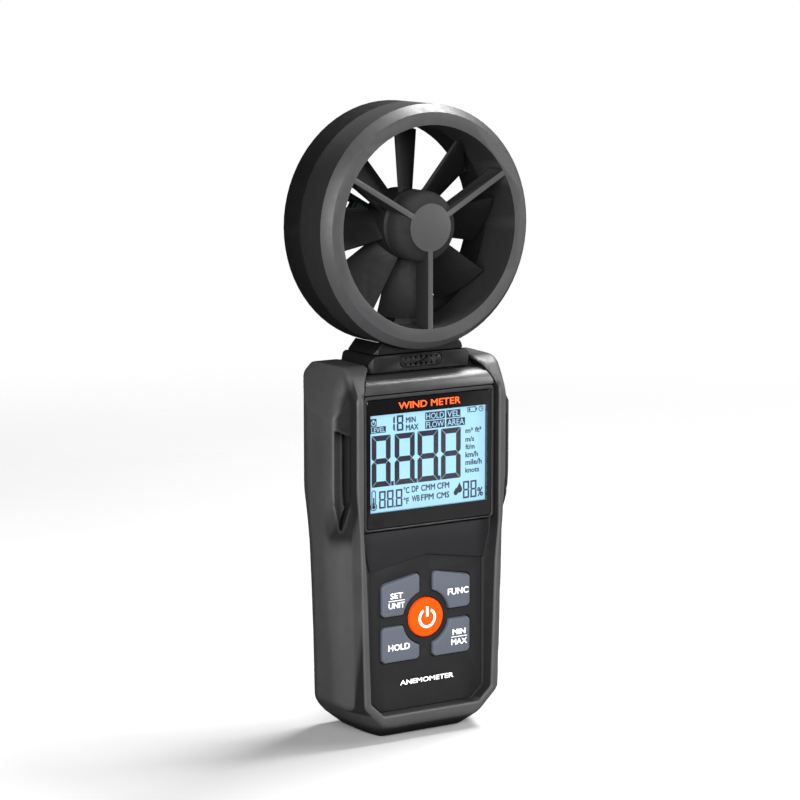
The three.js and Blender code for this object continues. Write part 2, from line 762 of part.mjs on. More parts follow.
// ---- faceplate, keypad and board ----
function faceplateOutline(inset) {
  return mirrored([
    [0, 62.6 - inset],
    [21.9 - inset, 62.6 - inset],
    [21.9 - inset, 59.2],
    [19.8 - inset, 50.8],
    [19.8 - inset, 12.1 + inset * 0.4],
    [15.5 - inset * 0.4, 8.4 + inset],
    [0, 8.4 + inset],
  ]);
}

const plate = prismY(faceplateOutline(0.1), PANEL_Y, PANEL_Y + 0.8);
const brow = between(
  mirrored([[0, 62.5], [21.8, 62.5], [21.8, 59.2], [19.8, 51.2], [0, 54.4]]),
  PANEL_Y - 0.9,
  mirrored([[0, 62.5], [21.8, 62.5], [21.8, 59.1], [19.8, 50.7], [0, 53.9]]),
  PANEL_Y + 0.4,
);
add("keypad_faceplate", cut(join(plate, brow), ...keyOpenings(-20, 0)), PANEL_FILM);

const CONTACT_SPOTS = [[-9, 43], [9, 43], [-9, 28], [9, 28], [0, POWER_Z]];
add("keypad_membrane", join(
  box(-17.4, 17.4, -8.1 + KEY_TRAVEL + 0.1, -6.4, 20, 52),
  ...CONTACT_SPOTS.map(([x, z]) => rodY(1.6, -6.6, -5.6, x, z, 12)),
), SILICONE);
const BOARD_OUTLINE = mirrored([[0, 98], [20, 98], [20, 60], [18.9, 14], [14.5, 10], [0, 10]]);
add("main_board", prismY(BOARD_OUTLINE, -4.8, -3.2), BOARD);

// ---- hard case ----
const SCREW_SPOTS = [[-17, 90], [17, 90], [-17, 72.5], [17, 72.5]];

function topBar() {
  const profile = [
    [-13.9, 103.3],
    [-13.8, 104.4],
    [-13.2, 105.8],
    [-12.1, 107],
    [-10.6, 107.9],
    [-9, CASE_TOP - GAP],
    [-4, CASE_TOP - GAP],
    [-4, 103.3],
  ];
  return prismX(profile, -22.8, 22.8).intersect(prismY(armOutline(GAP), -16, -2));
}

function frontCase() {
  const shell = caseEnvelope(GAP).intersect(box(-40, 40, -30, SPLIT_Y - 0.15, 0, 130));
  const hollow = caseEnvelope(2.1).intersect(box(-40, 40, -30, 30, 0, 103.6));
  const display = prismY(roundRect(22.2, 63.7, 102.6, 1), -20, -8);
  const pocket = prismY(faceplateOutline(-0.25), -20, PANEL_Y + 0.8 + GAP);
  const neck = box(-12.3, 12.3, -6.7, 8, 102, 112);
  const shelf = box(-23, 23, -10.2, -9, 5, 62.6).intersect(caseEnvelope(GAP));
  const lugs = SCREW_SPOTS.map(([x, z]) => {
    const [inner, outer] = x > 0 ? [14.4, 22] : [-22, -14.4];
    return box(inner, outer, -2.9, -0.15, z - 2.6, z + 2.6);
  });
  const pilots = SCREW_SPOTS.map(([x, z]) => rodY(1.35, -5, 5, x, z, 12));
  const body = join(cut(shell, hollow), topBar(), shelf, ...lugs);
  return cut(body, display, pocket, neck, ...pilots, ...keyOpenings(-20, 0));
}

function rearCase() {
  const shell = caseEnvelope(GAP).intersect(box(-40, 40, SPLIT_Y + 0.15, 30, 0, 130));
  const hollow = caseEnvelope(2.1).intersect(box(-40, 40, -30, 30, 0, 130));
  const { x, low, high } = BACK_WINDOW;
  const pad = prismY(roundRect(x - GAP, low + GAP, high - GAP, 2.7), 10.5, DOOR.outer);
  const tray = box(-21, 21, 0.3, 12, DOOR.low - 1.9, DOOR.high + 1.9).intersect(caseEnvelope(GAP));
  const bosses = SCREW_SPOTS.map(([sx, sz]) => rodY(2.6, 0.3, 12, sx, sz, 16));
  const room = box(-DOOR.x - GAP, DOOR.x + GAP, 1.5, 20, DOOR.low - GAP, DOOR.high + GAP);
  const neck = box(-12.3, 12.3, -6, 5.7, 102, 112);
  const holes = SCREW_SPOTS.map(([sx, sz]) => join(
    rodY(1.4, -5, 20, sx, sz, 12),
    rodY(2, 11, 20, sx, sz, 12),
  ));
  const grip = rodX(2.2, DOOR.outer + 1.2, DOOR.high + 1.2);
  return cut(join(cut(shell, hollow), pad, tray, ...bosses), room, neck, grip, ...holes);
}

// Short level rod for the finger notch above the battery door.
function rodX(radius, y, z) {
  const g = new THREE.CylinderGeometry(radius, radius, 12, 24).rotateZ(Math.PI / 2);
  return solid(g.translate(0, y, z));
}

function batteryDoor() {
  const plateBody = box(-DOOR.x, DOOR.x, DOOR.inner, DOOR.outer, DOOR.low, DOOR.high);
  const notch = rodX(2.2, DOOR.outer + 1.2, DOOR.high + 1.2);
  const ribs = [47.4, 49.6, 51.8, 54].map((z) => box(-7, 7, DOOR.outer - 0.4, DOOR.outer + 1, z, z + 1));
  return cut(plateBody, notch, ...ribs);
}

add("grip_jacket", gripJacket(), JACKET_TPE);
add("front_case", frontCase(), CASE_ABS);
add("rear_case", rearCase(), CASE_ABS);
add("battery_door", batteryDoor(), CASE_ABS);

SCREW_SPOTS.forEach(([x, z], i) => {
  const head = rodY(1.7, 12.2, 13.8, x, z, 12);
  const slot = join(
    box(x - 1.1, x + 1.1, 13.1, 14.5, z - 0.22, z + 0.22),
    box(x - 0.22, x + 0.22, 13.1, 14.5, z - 1.1, z + 1.1),
  );
  add(`case_screw_${i + 1}`, cut(join(head, rodY(1.05, -2.6, 12.5, x, z, 12)), slot), STEEL);
});

// ---- batteries and contacts ----
CELL_X.forEach((x, i) => {
  const up = i % 2 === 0;
  const [z0, z1] = CELL_Z;
  const tip = up ? rodZ(1.9, z1 - 0.1, z1 + 0.9, x, CELL_Y) : rodZ(1.9, z0 - 0.9, z0 + 0.1, x, CELL_Y);
  add(`battery_${i + 1}`, join(rodZ(CELL_R, z0, z1, x, CELL_Y, 24), tip), CELL_SLEEVE);
});

function contact(x0, x1, z) {
  return box(x0, x1, CELL_Y - 3.6, CELL_Y + 3.6, z, z + 0.5);
}

add("contact_top_single", contact(7.5, 16.5, 63.6), STEEL);
add("contact_top_pair", contact(-16.5, 4.5, 63.6), STEEL);
add("contact_bottom_pair", contact(-4.5, 16.5, 15.9), STEEL);
add("contact_bottom_single", contact(-16.5, -7.5, 15.9), STEEL);

export default root;
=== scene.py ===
"""Looks of the hand-held vane anemometer.

Shapes are worked out in millimetres and made in metres, in the CAD frame.
"""
import math

import bmesh
import bpy
import numpy as np
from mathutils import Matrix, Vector


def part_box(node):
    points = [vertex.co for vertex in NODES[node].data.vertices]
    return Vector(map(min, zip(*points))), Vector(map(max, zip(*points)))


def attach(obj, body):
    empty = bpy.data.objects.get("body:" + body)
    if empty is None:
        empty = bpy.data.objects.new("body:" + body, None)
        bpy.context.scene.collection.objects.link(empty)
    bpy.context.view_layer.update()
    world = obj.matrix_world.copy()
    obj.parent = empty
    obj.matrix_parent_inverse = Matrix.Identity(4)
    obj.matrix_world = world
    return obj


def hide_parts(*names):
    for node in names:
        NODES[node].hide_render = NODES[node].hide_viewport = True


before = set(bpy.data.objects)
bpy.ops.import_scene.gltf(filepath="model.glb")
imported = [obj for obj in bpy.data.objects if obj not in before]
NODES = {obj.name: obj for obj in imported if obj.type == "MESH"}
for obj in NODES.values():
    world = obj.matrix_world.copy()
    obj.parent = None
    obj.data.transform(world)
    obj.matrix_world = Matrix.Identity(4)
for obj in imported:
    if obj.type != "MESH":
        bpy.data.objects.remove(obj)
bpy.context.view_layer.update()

MM = 0.001
SCENE = bpy.context.scene


def mm_box(node):
    """Lowest and highest corner of a CAD node in millimetres."""
    low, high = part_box(node)
    return np.array(low) / MM, np.array(high) / MM


# ---- places read from the frame ----
JACKET_LOW, JACKET_HIGH = mm_box("grip_jacket")
COVER_LOW, COVER_HIGH = mm_box("vane_front_cover")
HEAD_Z = (COVER_LOW[2] + COVER_HIGH[2]) / 2
FACE_Y = COVER_LOW[1]
FRONT_Y = JACKET_LOW[1]
BACK_Y = JACKET_HIGH[1]
TOP_Z = JACKET_HIGH[2]
WALL_X = 24.2  # middle of each strip, between its inner and its outer wall


# ---------------------------------------------------------------- distance fields
def both(a, b, r=0.0):
    """Intersection of two solids whose meeting edge is rounded to radius r."""
    return np.minimum(-r, np.maximum(a, b)) + np.hypot(np.maximum(r + a, 0), np.maximum(r + b, 0))


def weld(a, b, r=0.0):
    """Union of two solids with a fillet of radius r where they meet."""
    return np.maximum(r, np.minimum(a, b)) - np.hypot(np.maximum(r - a, 0), np.maximum(r - b, 0))


def carve(a, b, r=0.0):
    """Solid a with solid b cut away and the rim rounded to radius r."""
    return both(a, -b, r)


def polygon(u, v, points, r=0.0):
    """Distance to a closed outline whose corners are rounded to radius r."""
    pts = inset_outline(points, r) if r else np.array(points, float)
    u, v = np.broadcast_arrays(u, v)
    best = np.full(u.shape, 1e9)
    sign = np.ones(u.shape)
    for (ax, ay), (bx, by) in zip(pts, np.roll(pts, -1, axis=0)):
        ex, ey = bx - ax, by - ay
        wu, wv = u - ax, v - ay
        t = np.clip((wu * ex + wv * ey) / (ex * ex + ey * ey), 0, 1)
        best = np.minimum(best, (wu - ex * t) ** 2 + (wv - ey * t) ** 2)
        above, below = v >= ay, v < by
        left = ex * wv > ey * wu
        sign = np.where((above & below & left) | (~above & ~below & ~left), -sign, sign)
    return sign * np.sqrt(best) - r


def inset_outline(points, r):
    """The outline moved inwards by r, corner by corner."""
    pts = np.array(points, float)
    nxt, prv = np.roll(pts, -1, axis=0), np.roll(pts, 1, axis=0)
    area = np.sum(pts[:, 0] * nxt[:, 1] - nxt[:, 0] * pts[:, 1])
    a, b = pts - prv, nxt - pts
    a /= np.linalg.norm(a, axis=1)[:, None]
    b /= np.linalg.norm(b, axis=1)[:, None]
    turn = np.sign(area)
    na = np.stack([-a[:, 1], a[:, 0]], 1) * turn
    nb = np.stack([-b[:, 1], b[:, 0]], 1) * turn
    mid = na + nb
    scale = np.maximum(np.sum(mid * na, axis=1), 0.2)
    return pts + mid * (r / scale)[:, None]


def slab(v, low, high):
    return np.abs(v - (low + high) / 2) - (high - low) / 2


def brick(x, y, z, low, high, r=0.0):
    """Box with rounded edges."""
    d = [np.abs(c - (a + b) / 2) - (b - a) / 2 + r for c, a, b in zip((x, y, z), low, high)]
    out = np.sqrt(sum(np.maximum(q, 0) ** 2 for q in d))
    return out + np.minimum(np.maximum(np.maximum(d[0], d[1]), d[2]), 0) - r


def along(z, stations, values, soft=2.5):
    """Value at each height, linear between the stations and eased over the bends."""
    steps = np.linspace(-soft, soft, 7)
    return sum(np.interp(z + s, stations, values) for s in steps) / len(steps)


def mirrored(half):
    """Both halves of an outline given for positive x, running down from the top."""
    return half + [(-x, z) for x, z in reversed(half) if x > 1e-6]


def rounded(x0, x1, z0, z1, r, steps=6):
    """Outline of a rectangle with round corners."""
    points = []
    for cx, cz, start in ((x1 - r, z1 - r, 0), (x0 + r, z1 - r, 90), (x0 + r, z0 + r, 180),
                          (x1 - r, z0 + r, 270)):
        for i in range(steps + 1):
            t = math.radians(start + 90 * i / steps)
            points.append((cx + r * math.cos(t), cz + r * math.sin(t)))
    return points


# ---------------------------------------------------------------- meshing
def ring_prism(outer, inner, y0, y1):
    """Vertices and faces of a flat ring between two outlines of equal point count."""
    n = len(outer)
    verts = [(px, y, pz) for y in (y0, y1) for ring in (outer, inner) for px, pz in ring]
    faces = []
    for i in range(n):
        j = (i + 1) % n
        faces.append([i, j, n + j, n + i])
        faces.append([2 * n + i, 3 * n + i, 3 * n + j, 2 * n + j])
        faces.append([i, 2 * n + i, 2 * n + j, j])
        faces.append([n + i, n + j, 3 * n + j, 3 * n + i])
    return verts, faces


def surface_nets(field, low, high, cell, relax=2):
    """Vertices and quads on the zero level of a field, fitted to it exactly."""
    low = np.array(low, float) - 1.6 * cell
    count = np.ceil((np.array(high, float) + 1.6 * cell - low) / cell).astype(int) + 1
    gx, gy, gz = [low[i] + cell * np.arange(count[i]) for i in range(3)]
    value = np.broadcast_to(field(gx[:, None, None], gy[None, :, None], gz[None, None, :]), count)
    inside = value < 0
    corners = [(i, j, k) for i in (0, 1) for j in (0, 1) for k in (0, 1)]
    total = sum(
        inside[i : count[0] - 1 + i, j : count[1] - 1 + j, k : count[2] - 1 + k].astype(np.int8)
        for i, j, k in corners
    )
    active = (total > 0) & (total < 8)
    cells = np.argwhere(active)
    ids = np.full(active.shape, -1)
    ids[active] = np.arange(len(cells))
    spot, hits = np.zeros((len(cells), 3)), np.zeros(len(cells))
    for a in corners:
        for axis in range(3):
            if a[axis]:
                continue
            b = np.array(a) + np.eye(3, dtype=int)[axis]
            va, vb = value[tuple((cells + a).T)], value[tuple((cells + b).T)]
            cross = (va < 0) != (vb < 0)
            t = np.where(cross, va / np.where(cross, va - vb, 1), 0)
            spot += np.where(cross[:, None], np.array(a) + t[:, None] * np.eye(3)[axis], 0)
            hits += cross
    verts = low + cell * (cells + spot / hits[:, None])
    quads = []
    for axis in range(3):
        u, v = np.eye(3, dtype=int)[(axis + 1) % 3], np.eye(3, dtype=int)[(axis + 2) % 3]
        near = [slice(None)] * 3
        far = [slice(None)] * 3
        near[axis], far[axis] = slice(0, -1), slice(1, None)
        edges = np.argwhere(inside[tuple(near)] != inside[tuple(far)])
        ring = [ids[tuple((edges - s).T)] for s in (0 * u, u, u + v, v)]
        face = np.stack(ring, 1)
        outward = inside[tuple(edges.T)]
        quads.append(np.where(outward[:, None], face, face[:, ::-1]))
    quads = np.concatenate(quads)
    return settle(field, verts, quads, cell, relax), quads


def settle(field, verts, quads, cell, relax):
    """Evens out the vertices and pulls them onto the field's zero level."""
    pairs = np.concatenate([quads[:, [i, (i + 1) % 4]] for i in range(4)])
    for step in range(relax + 3):
        if step < relax:
            mean, weight = np.zeros_like(verts), np.zeros(len(verts))
            for i, j in ((0, 1), (1, 0)):
                for k in range(3):
                    mean[:, k] += np.bincount(pairs[:, i], verts[pairs[:, j], k], len(verts))
                weight += np.bincount(pairs[:, i], minlength=len(verts))
            verts = 0.4 * verts + 0.6 * mean / weight[:, None]
        value = field(*verts.T)
        slope = np.stack([
            (field(*(verts + d).T) - field(*(verts - d).T)) / 0.04 for d in 0.02 * np.eye(3)
        ], 1)
        push = value / np.maximum(np.sum(slope**2, axis=1), 0.25)
        verts = verts - slope * np.clip(push, -cell / 2, cell / 2)[:, None]
    return verts


def mesh_piece(name, verts, faces, material, body, smooth=True):
    """A piece from vertices in millimetres, riding on a CAD body."""
    mesh = bpy.data.meshes.new(name)
    mesh.from_pydata((np.array(verts) * MM).tolist(), [], [list(map(int, f)) for f in faces])
    mesh.update()
    obj = bpy.data.objects.new(name, mesh)
    SCENE.collection.objects.link(obj)
    mesh.polygons.foreach_set("use_smooth", [smooth] * len(mesh.polygons))
    mesh.materials.append(material)
    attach(obj, body)
    return obj


def apply_modifiers(obj):
    depsgraph = bpy.context.evaluated_depsgraph_get()
    baked = bpy.data.meshes.new_from_object(obj.evaluated_get(depsgraph))
    obj.modifiers.clear()
    old = obj.data
    obj.data = baked
    bpy.data.meshes.remove(old)


# ---------------------------------------------------------------- materials
def shader(name):
    """A new material with an empty node tree, as (material, output node, add node, link)."""
    mat = bpy.data.materials.new(name)
    mat.use_nodes = True
    tree = mat.node_tree
    tree.nodes.clear()
    out = tree.nodes.new("ShaderNodeOutputMaterial")

    def add(kind, **values):
        node = tree.nodes.new(kind)
        for key, value in values.items():
            if key in node.inputs:
                node.inputs[key].default_value = value
            else:
                setattr(node, key, value)
        return node

    return mat, out, add, tree.links.new


def linear(hex_code):
    channels = [int(hex_code[i : i + 2], 16) / 255 for i in (0, 2, 4)]
    return [c / 12.92 if c <= 0.04045 else ((c + 0.055) / 1.055) ** 2.4 for c in channels] + [1.0]


def noise(place, scale, detail, add, link, roughness=0.5):
    texture = add("ShaderNodeTexNoise", Scale=scale, Detail=detail, Roughness=roughness)
    link(place, texture.inputs["Vector"])
    return texture.outputs["Fac"]


def ranged(value, low, high, add, link, start=0.0, end=1.0, shape="LINEAR"):
    """Maps start..end onto low..high."""
    ramp = add("ShaderNodeMapRange", interpolation_type=shape)
    ramp.inputs["From Min"].default_value = start
    ramp.inputs["From Max"].default_value = end
    ramp.inputs["To Min"].default_value = low
    ramp.inputs["To Max"].default_value = high
    link(value, ramp.inputs["Value"])
    return ramp.outputs["Result"]


def bumped(height, strength, depth, add, link):
    """Normal of a surface raised by height times depth millimetres."""
    bump = add("ShaderNodeBump", Strength=strength)
    bump.inputs["Distance"].default_value = depth * MM
    link(height, bump.inputs["Height"])
    return bump.outputs["Normal"]


def computed(operation, a, b, add, link):
    """Sum, product or another operation on an output a and an output or number b."""
    node = add("ShaderNodeMath", operation=operation)
    link(a, node.inputs[0])
    if isinstance(b, (int, float)):
        node.inputs[1].default_value = b
    else:
        link(b, node.inputs[1])
    return node.outputs["Value"]


def openness(reach, add, link):
    """Painted shade in hollows: 1 in the open, falling towards 0 in hollows over a reach in millimetres."""
    hollow = add("ShaderNodeAmbientOcclusion", samples=8)
    hollow.inputs["Distance"].default_value = reach * MM
    return computed("POWER", hollow.outputs["AO"], 2.0, add, link)


def worn_edges(base, colour, wear, add, link):
    """The base colour, rubbed lighter along its outer edges."""
    edge = add("ShaderNodeNewGeometry").outputs["Pointiness"]
    rubbed = ranged(edge, 0.0, 1.0, add, link, 0.505, 0.62)
    worn = add("ShaderNodeMix", data_type="RGBA", blend_type="MIX")
    worn.inputs["B"].default_value = [min(1.0, c * 1.5 + 0.012) for c in colour[:3]] + [1.0]
    link(base, worn.inputs["A"])
    link(computed("MULTIPLY", rubbed, wear, add, link), worn.inputs["Factor"])
    return worn.outputs["Result"]


# Blends a painted shade colour into the base colour, by share.
def painted_shade_blend(first, second, share, add, link):
    shade = add("ShaderNodeMix", data_type="VECTOR")
    shade.inputs["A"].default_value = first[:3]
    shade.inputs["B"].default_value = second[:3]
    link(share, shade.inputs["Factor"])
    return shade.outputs["Result"]


def duller(sheen, share, add, link):
    """The sheen's roughness, raised where share is high."""
    dull = add("ShaderNodeMath", operation="MULTIPLY_ADD")
    dull.inputs[1].default_value = 0.4
    link(share, dull.inputs[0])
    link(sheen, dull.inputs[2])
    return dull.outputs["Value"]


def moulded_plastic(name, hex_code, rough, grain=0.18, depth=0.012, wear=0.25, mottle=0.1, gloss=0.5,
                    part=None, hollow_shade=0.0):
    """Moulded plastic or rubber: fine eroded grain, uneven sheen, and edges polished by handling.

    grain is the width of the texture and depth its height, in millimetres.
    part, when given, is (mask builder, colour) for a share of the surface with painted shade: darker, with a
    duller sheen.
    The last argument gives the reach in millimetres over which painted shade darkens hollows.
    """
    mat, out, add, link = shader(name)
    place = add("ShaderNodeTexCoord").outputs["Object"]
    surface = add("ShaderNodeBsdfPrincipled")
    surface.inputs["Specular IOR Level"].default_value = gloss
    grains = noise(place, 1000 / grain, 3.0, add, link, 0.6)
    patches = noise(place, 70.0, 4.0, add, link, 0.55)
    streaks = noise(place, 420.0, 2.0, add, link)
    colour = linear(hex_code)
    tone = ranged(patches, 1 - mottle, 1 + mottle, add, link, 0.3, 0.7)
    # painted shade in hollows
    if hollow_shade:
        tone = computed("MULTIPLY", openness(hollow_shade, add, link), tone, add, link)
    sheen = ranged(streaks, rough - 0.05, rough + 0.05, add, link, 0.3, 0.7)
    base = add("ShaderNodeVectorMath", operation="SCALE")
    base.inputs[0].default_value = colour[:3]
    # painted shade on the part's zone
    if part:
        zone, other = part
        share = zone(place, add, link)
        link(painted_shade_blend(colour, linear(other), share, add, link), base.inputs[0])
        sheen = duller(sheen, share, add, link)
    link(tone, base.inputs["Scale"])
    link(worn_edges(base.outputs["Vector"], colour, wear, add, link), surface.inputs["Base Color"])
    link(sheen, surface.inputs["Roughness"])
    link(bumped(grains, 0.35, depth, add, link), surface.inputs["Normal"])
    link(surface.outputs["BSDF"], out.inputs["Surface"])
    return mat


def metal(name, hex_code, rough):
    """Turned or plated metal with fine brushing."""
    mat, out, add, link = shader(name)
    surface = add("ShaderNodeBsdfPrincipled")
    surface.inputs["Base Color"].default_value = linear(hex_code)
    surface.inputs["Metallic"].default_value = 1.0
    brush = noise(add("ShaderNodeTexCoord").outputs["Object"], 2500.0, 4.0, add, link)
    link(ranged(brush, rough - 0.08, rough + 0.12, add, link), surface.inputs["Roughness"])
    link(bumped(brush, 0.2, 0.01, add, link), surface.inputs["Normal"])
    link(surface.outputs["BSDF"], out.inputs["Surface"])
    return mat


# Bounds of the painted shade zones: the hub flank, the keypad field and the jacket's valleys.
HUB_REACH = 11.5
KEYPAD_FIELD_Y = -11.5
VALLEY_LEAN = 0.42  # how fast the valley runs inwards above VALLEY_BEND
VALLEY_BEND = 97


def painted_side_shade(place, add, link):
    """Painted shade on walls and flanks that do not look forwards, and on the hub's flank: smoother and
    darker.
    """
    split = add("ShaderNodeSeparateXYZ")
    link(add("ShaderNodeTexCoord").outputs["Normal"], split.inputs[0])
    turned = ranged(split.outputs["Y"], 0.0, 1.0, add, link, -0.6, -0.25, "SMOOTHSTEP")
    return computed("MAXIMUM", turned, painted_hub_shade(place, add, link), add, link)


def painted_hub_shade(place, add, link):
    """The domed flank of the front hub, behind its flat disc, where shade is painted."""
    shift = add("ShaderNodeVectorMath", operation="SUBTRACT")
    shift.inputs[1].default_value = (0, 0, HEAD_Z * MM)
    flat = add("ShaderNodeVectorMath", operation="MULTIPLY")
    flat.inputs[1].default_value = (1, 0, 1)
    reach = add("ShaderNodeVectorMath", operation="LENGTH")
    split = add("ShaderNodeSeparateXYZ")
    link(place, shift.inputs[0])
    link(place, split.inputs[0])
    link(shift.outputs["Vector"], flat.inputs[0])
    link(flat.outputs["Vector"], reach.inputs[0])
    near = computed("LESS_THAN", reach.outputs["Value"], HUB_REACH * MM, add, link)
    behind = computed("GREATER_THAN", split.outputs["Y"], (FACE_Y + 0.12) * MM, add, link)
    return computed("MULTIPLY", near, behind, add, link)


def eased(value, low, high, add, link):
    """Rises smoothly from 0 at low to 1 at high, or falls where low is above high; millimetres."""
    ends = (0.0, 1.0) if low < high else (1.0, 0.0)
    return ranged(value, *ends, add, link, min(low, high) * MM, max(low, high) * MM, "SMOOTHSTEP")


def all_of(masks, add, link):
    share = masks[0]
    for mask in masks[1:]:
        share = computed("MULTIPLY", share, mask, add, link)
    return share


def painted_valley_shade(place, add, link):
    """Painted shade in the valley between each strip and the grip, and on the inner walls of the window."""
    split = add("ShaderNodeSeparateXYZ")
    link(place, split.inputs[0])
    y, z = split.outputs["Y"], split.outputs["Z"]
    across = add("ShaderNodeMath", operation="ABSOLUTE")
    link(split.outputs["X"], across.inputs[0])
    x = across.outputs["Value"]
    above = computed("MAXIMUM", computed("SUBTRACT", z, VALLEY_BEND * MM, add, link), 0.0, add, link)
    leaning = computed("MULTIPLY", above, VALLEY_LEAN, add, link)
    ridge = computed("ADD", x, leaning, add, link)
    behind = [eased(y, FRONT_Y + 0.35, FRONT_Y + 0.8, add, link), eased(y, -3.0, -6.0, add, link)]
    valley = all_of([eased(ridge, 30.9, 29.0, add, link), eased(x, 25.0, 25.4, add, link),
                     eased(z, 57.0, 62.0, add, link)], add, link)
    window = all_of([eased(x, WALL_X, WALL_X - 0.35, add, link), eased(z, 104.5, 103.0, add, link),
                     eased(z, 8.2, 9.2, add, link)], add, link)
    return all_of([computed("ADD", valley, window, add, link), *behind], add, link)


def painted_keypad_shade(place, add, link):
    """Painted shade on the sunk keypad field below the ridge of the faceplate."""
    split = add("ShaderNodeSeparateXYZ")
    link(place, split.inputs[0])
    return computed("GREATER_THAN", split.outputs["Y"], KEYPAD_FIELD_Y * MM, add, link)


# The rear cover's near-black is painted shade: the same plastic as the front cover, in the colour of its
# painted side shade.
HEAD_REAR_SHADED = moulded_plastic("head_abs", "0a0a0b", 0.5, grain=0.22, mottle=0.05, gloss=0.2)
# The front cover gets painted shade on its side walls and hub flank.
HEAD_FRONT = moulded_plastic("head_front", "2f2f30", 0.45, grain=0.22, mottle=0.05, gloss=0.3,
                             part=(painted_side_shade, "0a0a0b"))
BLADE_ABS = moulded_plastic("blade_abs", "0f0f10", 0.6, grain=0.3, mottle=0.08, gloss=0.15)
# The jacket gets painted shade in its valleys, on the window's inner walls and in its hollows.
JACKET = moulded_plastic("jacket_tpe", "323233", 0.5, grain=0.2, depth=0.016, wear=0.3, gloss=0.3,
                         hollow_shade=5.0, part=(painted_valley_shade, "08080a"))
CASE_ABS = moulded_plastic("case_abs", "222223", 0.35, grain=0.2, mottle=0.05, gloss=0.5)
# The neck gets painted shade in its hollows.
NECK_ABS = moulded_plastic("neck_abs", "111112", 0.45, grain=0.2, mottle=0.06, gloss=0.2, hollow_shade=8.0)
# The panel gets painted shade on its sunk keypad field.
PANEL = moulded_plastic("panel_film", "18181a", 0.55, grain=0.14, depth=0.008, wear=0.15, gloss=0.12,
                        part=(painted_keypad_shade, "171718"))
KEY_GREY = moulded_plastic("key_rubber", "40444c", 0.6, grain=0.16, depth=0.01, wear=0.1, mottle=0.04,
                           gloss=0.2)
KEY_ORANGE = moulded_plastic("power_rubber", "e43c00", 0.6, grain=0.16, depth=0.01, wear=0.05, mottle=0.03,
                             gloss=0.06)
MAGNET = moulded_plastic("magnet", "1c1c1e", 0.35, grain=0.1, mottle=0.1)
BOARD = moulded_plastic("board", "16201b", 0.35, grain=0.3, mottle=0.12)
SILICONE = moulded_plastic("silicone", "3c3e40", 0.6, grain=0.2)
DIFFUSER = moulded_plastic("diffuser", "c8d4d8", 0.5, grain=0.2, wear=0.0)
CELL = moulded_plastic("cell_sleeve", "2a3038", 0.25, grain=0.15, depth=0.004, mottle=0.06)
LEGEND = moulded_plastic("legend", "e8e8ea", 0.5, grain=0.1, depth=0.004, wear=0.0, mottle=0.03)
LENS_ORANGE = moulded_plastic("lens_print", "f0500c", 0.35, grain=0.1, depth=0.003, wear=0.0, mottle=0.03)
LENS_BLACK = moulded_plastic("lens_black", "0a0a0b", 0.08, grain=0.8, depth=0.001, wear=0.1, mottle=0.1)
STEEL = metal("steel", "9a9a9c", 0.3)
BRONZE = metal("bronze", "b89a56", 0.35)


def clear_sheet(name):
    """Clear window: sees through, with a gloss that strengthens at grazing angles and faint smears."""
    mat, out, add, link = shader(name)
    smears = noise(add("ShaderNodeTexCoord").outputs["Object"], 60.0, 3.0, add, link)
    gloss = add("ShaderNodeBsdfGlossy")
    link(ranged(smears, 0.03, 0.1, add, link), gloss.inputs["Roughness"])
    clear = add("ShaderNodeBsdfTransparent")
    slant = add("ShaderNodeLayerWeight", Blend=0.5).outputs["Facing"]
    mix = add("ShaderNodeMixShader")
    link(ranged(computed("POWER", slant, 4.0, add, link), 0.03, 0.9, add, link), mix.inputs["Fac"])
    link(clear.outputs["BSDF"], mix.inputs[1])
    link(gloss.outputs["BSDF"], mix.inputs[2])
    link(mix.outputs["Shader"], out.inputs["Surface"])
    return mat


def lit_screen(name, hex_code, strength):
    """Back-lit liquid-crystal layer: a glow with faint clouds, and a fine uneven sheen."""
    mat, out, add, link = shader(name)
    place = add("ShaderNodeTexCoord").outputs["Object"]
    clouds = noise(place, 45.0, 2.0, add, link)
    fine = noise(place, 3000.0, 2.0, add, link)
    surface = add("ShaderNodeBsdfPrincipled")
    surface.inputs["Base Color"].default_value = [c * 0.25 for c in linear(hex_code)[:3]] + [1]
    surface.inputs["Emission Color"].default_value = linear(hex_code)
    glow = ranged(clouds, strength * 0.93, strength * 1.07, add, link)
    link(glow, surface.inputs["Emission Strength"])
    link(ranged(fine, 0.4, 0.5, add, link), surface.inputs["Roughness"])
    link(surface.outputs["BSDF"], out.inputs["Surface"])
    return mat


LENS_CLEAR = clear_sheet("lens_gloss")
LCD_GLOW = lit_screen("lcd", "9ed0ec", 0.78)
LCD_INK = lit_screen("lcd_ink", "242234", 0.5)


# ---------------------------------------------------------------- grip jacket
GRIP_Z = [0, 10.5, 25, 44, 58, 67, 74, 112]
GRIP_X = [26.0, 26.5, 27.3, 28.4, 29.3, 30.4, 31.5, 31.5]
STRIP_Z = [4, 12, 25, 44, 60, 68, 75, 112]
STRIP_X = [22.9, 23.3, 23.7, 24.2, 24.6, 25.1, 25.75, 25.75]
BACK_Z = [0, 12, 30, 60, 75, 104, 111]
BACK_ROUND = [8.5, 9, 10.5, 12, 12.9, 12.9, 10.5]
WALL = 1.5


def plane(u, v, a, b):
    """Distance to the line through two points of a profile; positive on its right as it runs from a to b."""
    du, dv = b[0] - a[0], b[1] - a[1]
    length = math.hypot(du, dv)
    return ((u - a[0]) * dv - (v - a[1]) * du) / length


def corner_chamfers(ax, y, z):
    """Sloping faces under the lower corners, and the ones under the front and rear edges."""
    tilt = (0.687 * ax - 0.268 * (y + 5) - 0.726 * z - 10.65) / 1.035
    plain = 0.687 * ax - 0.726 * z - 10.65
    front = -0.598 * y - 0.802 * z - 5.38
    rear = 0.643 * y - 0.766 * z - 6.4
    return both(both(tilt, plain, 1.5), both(front, rear, 1.0), 1.2)


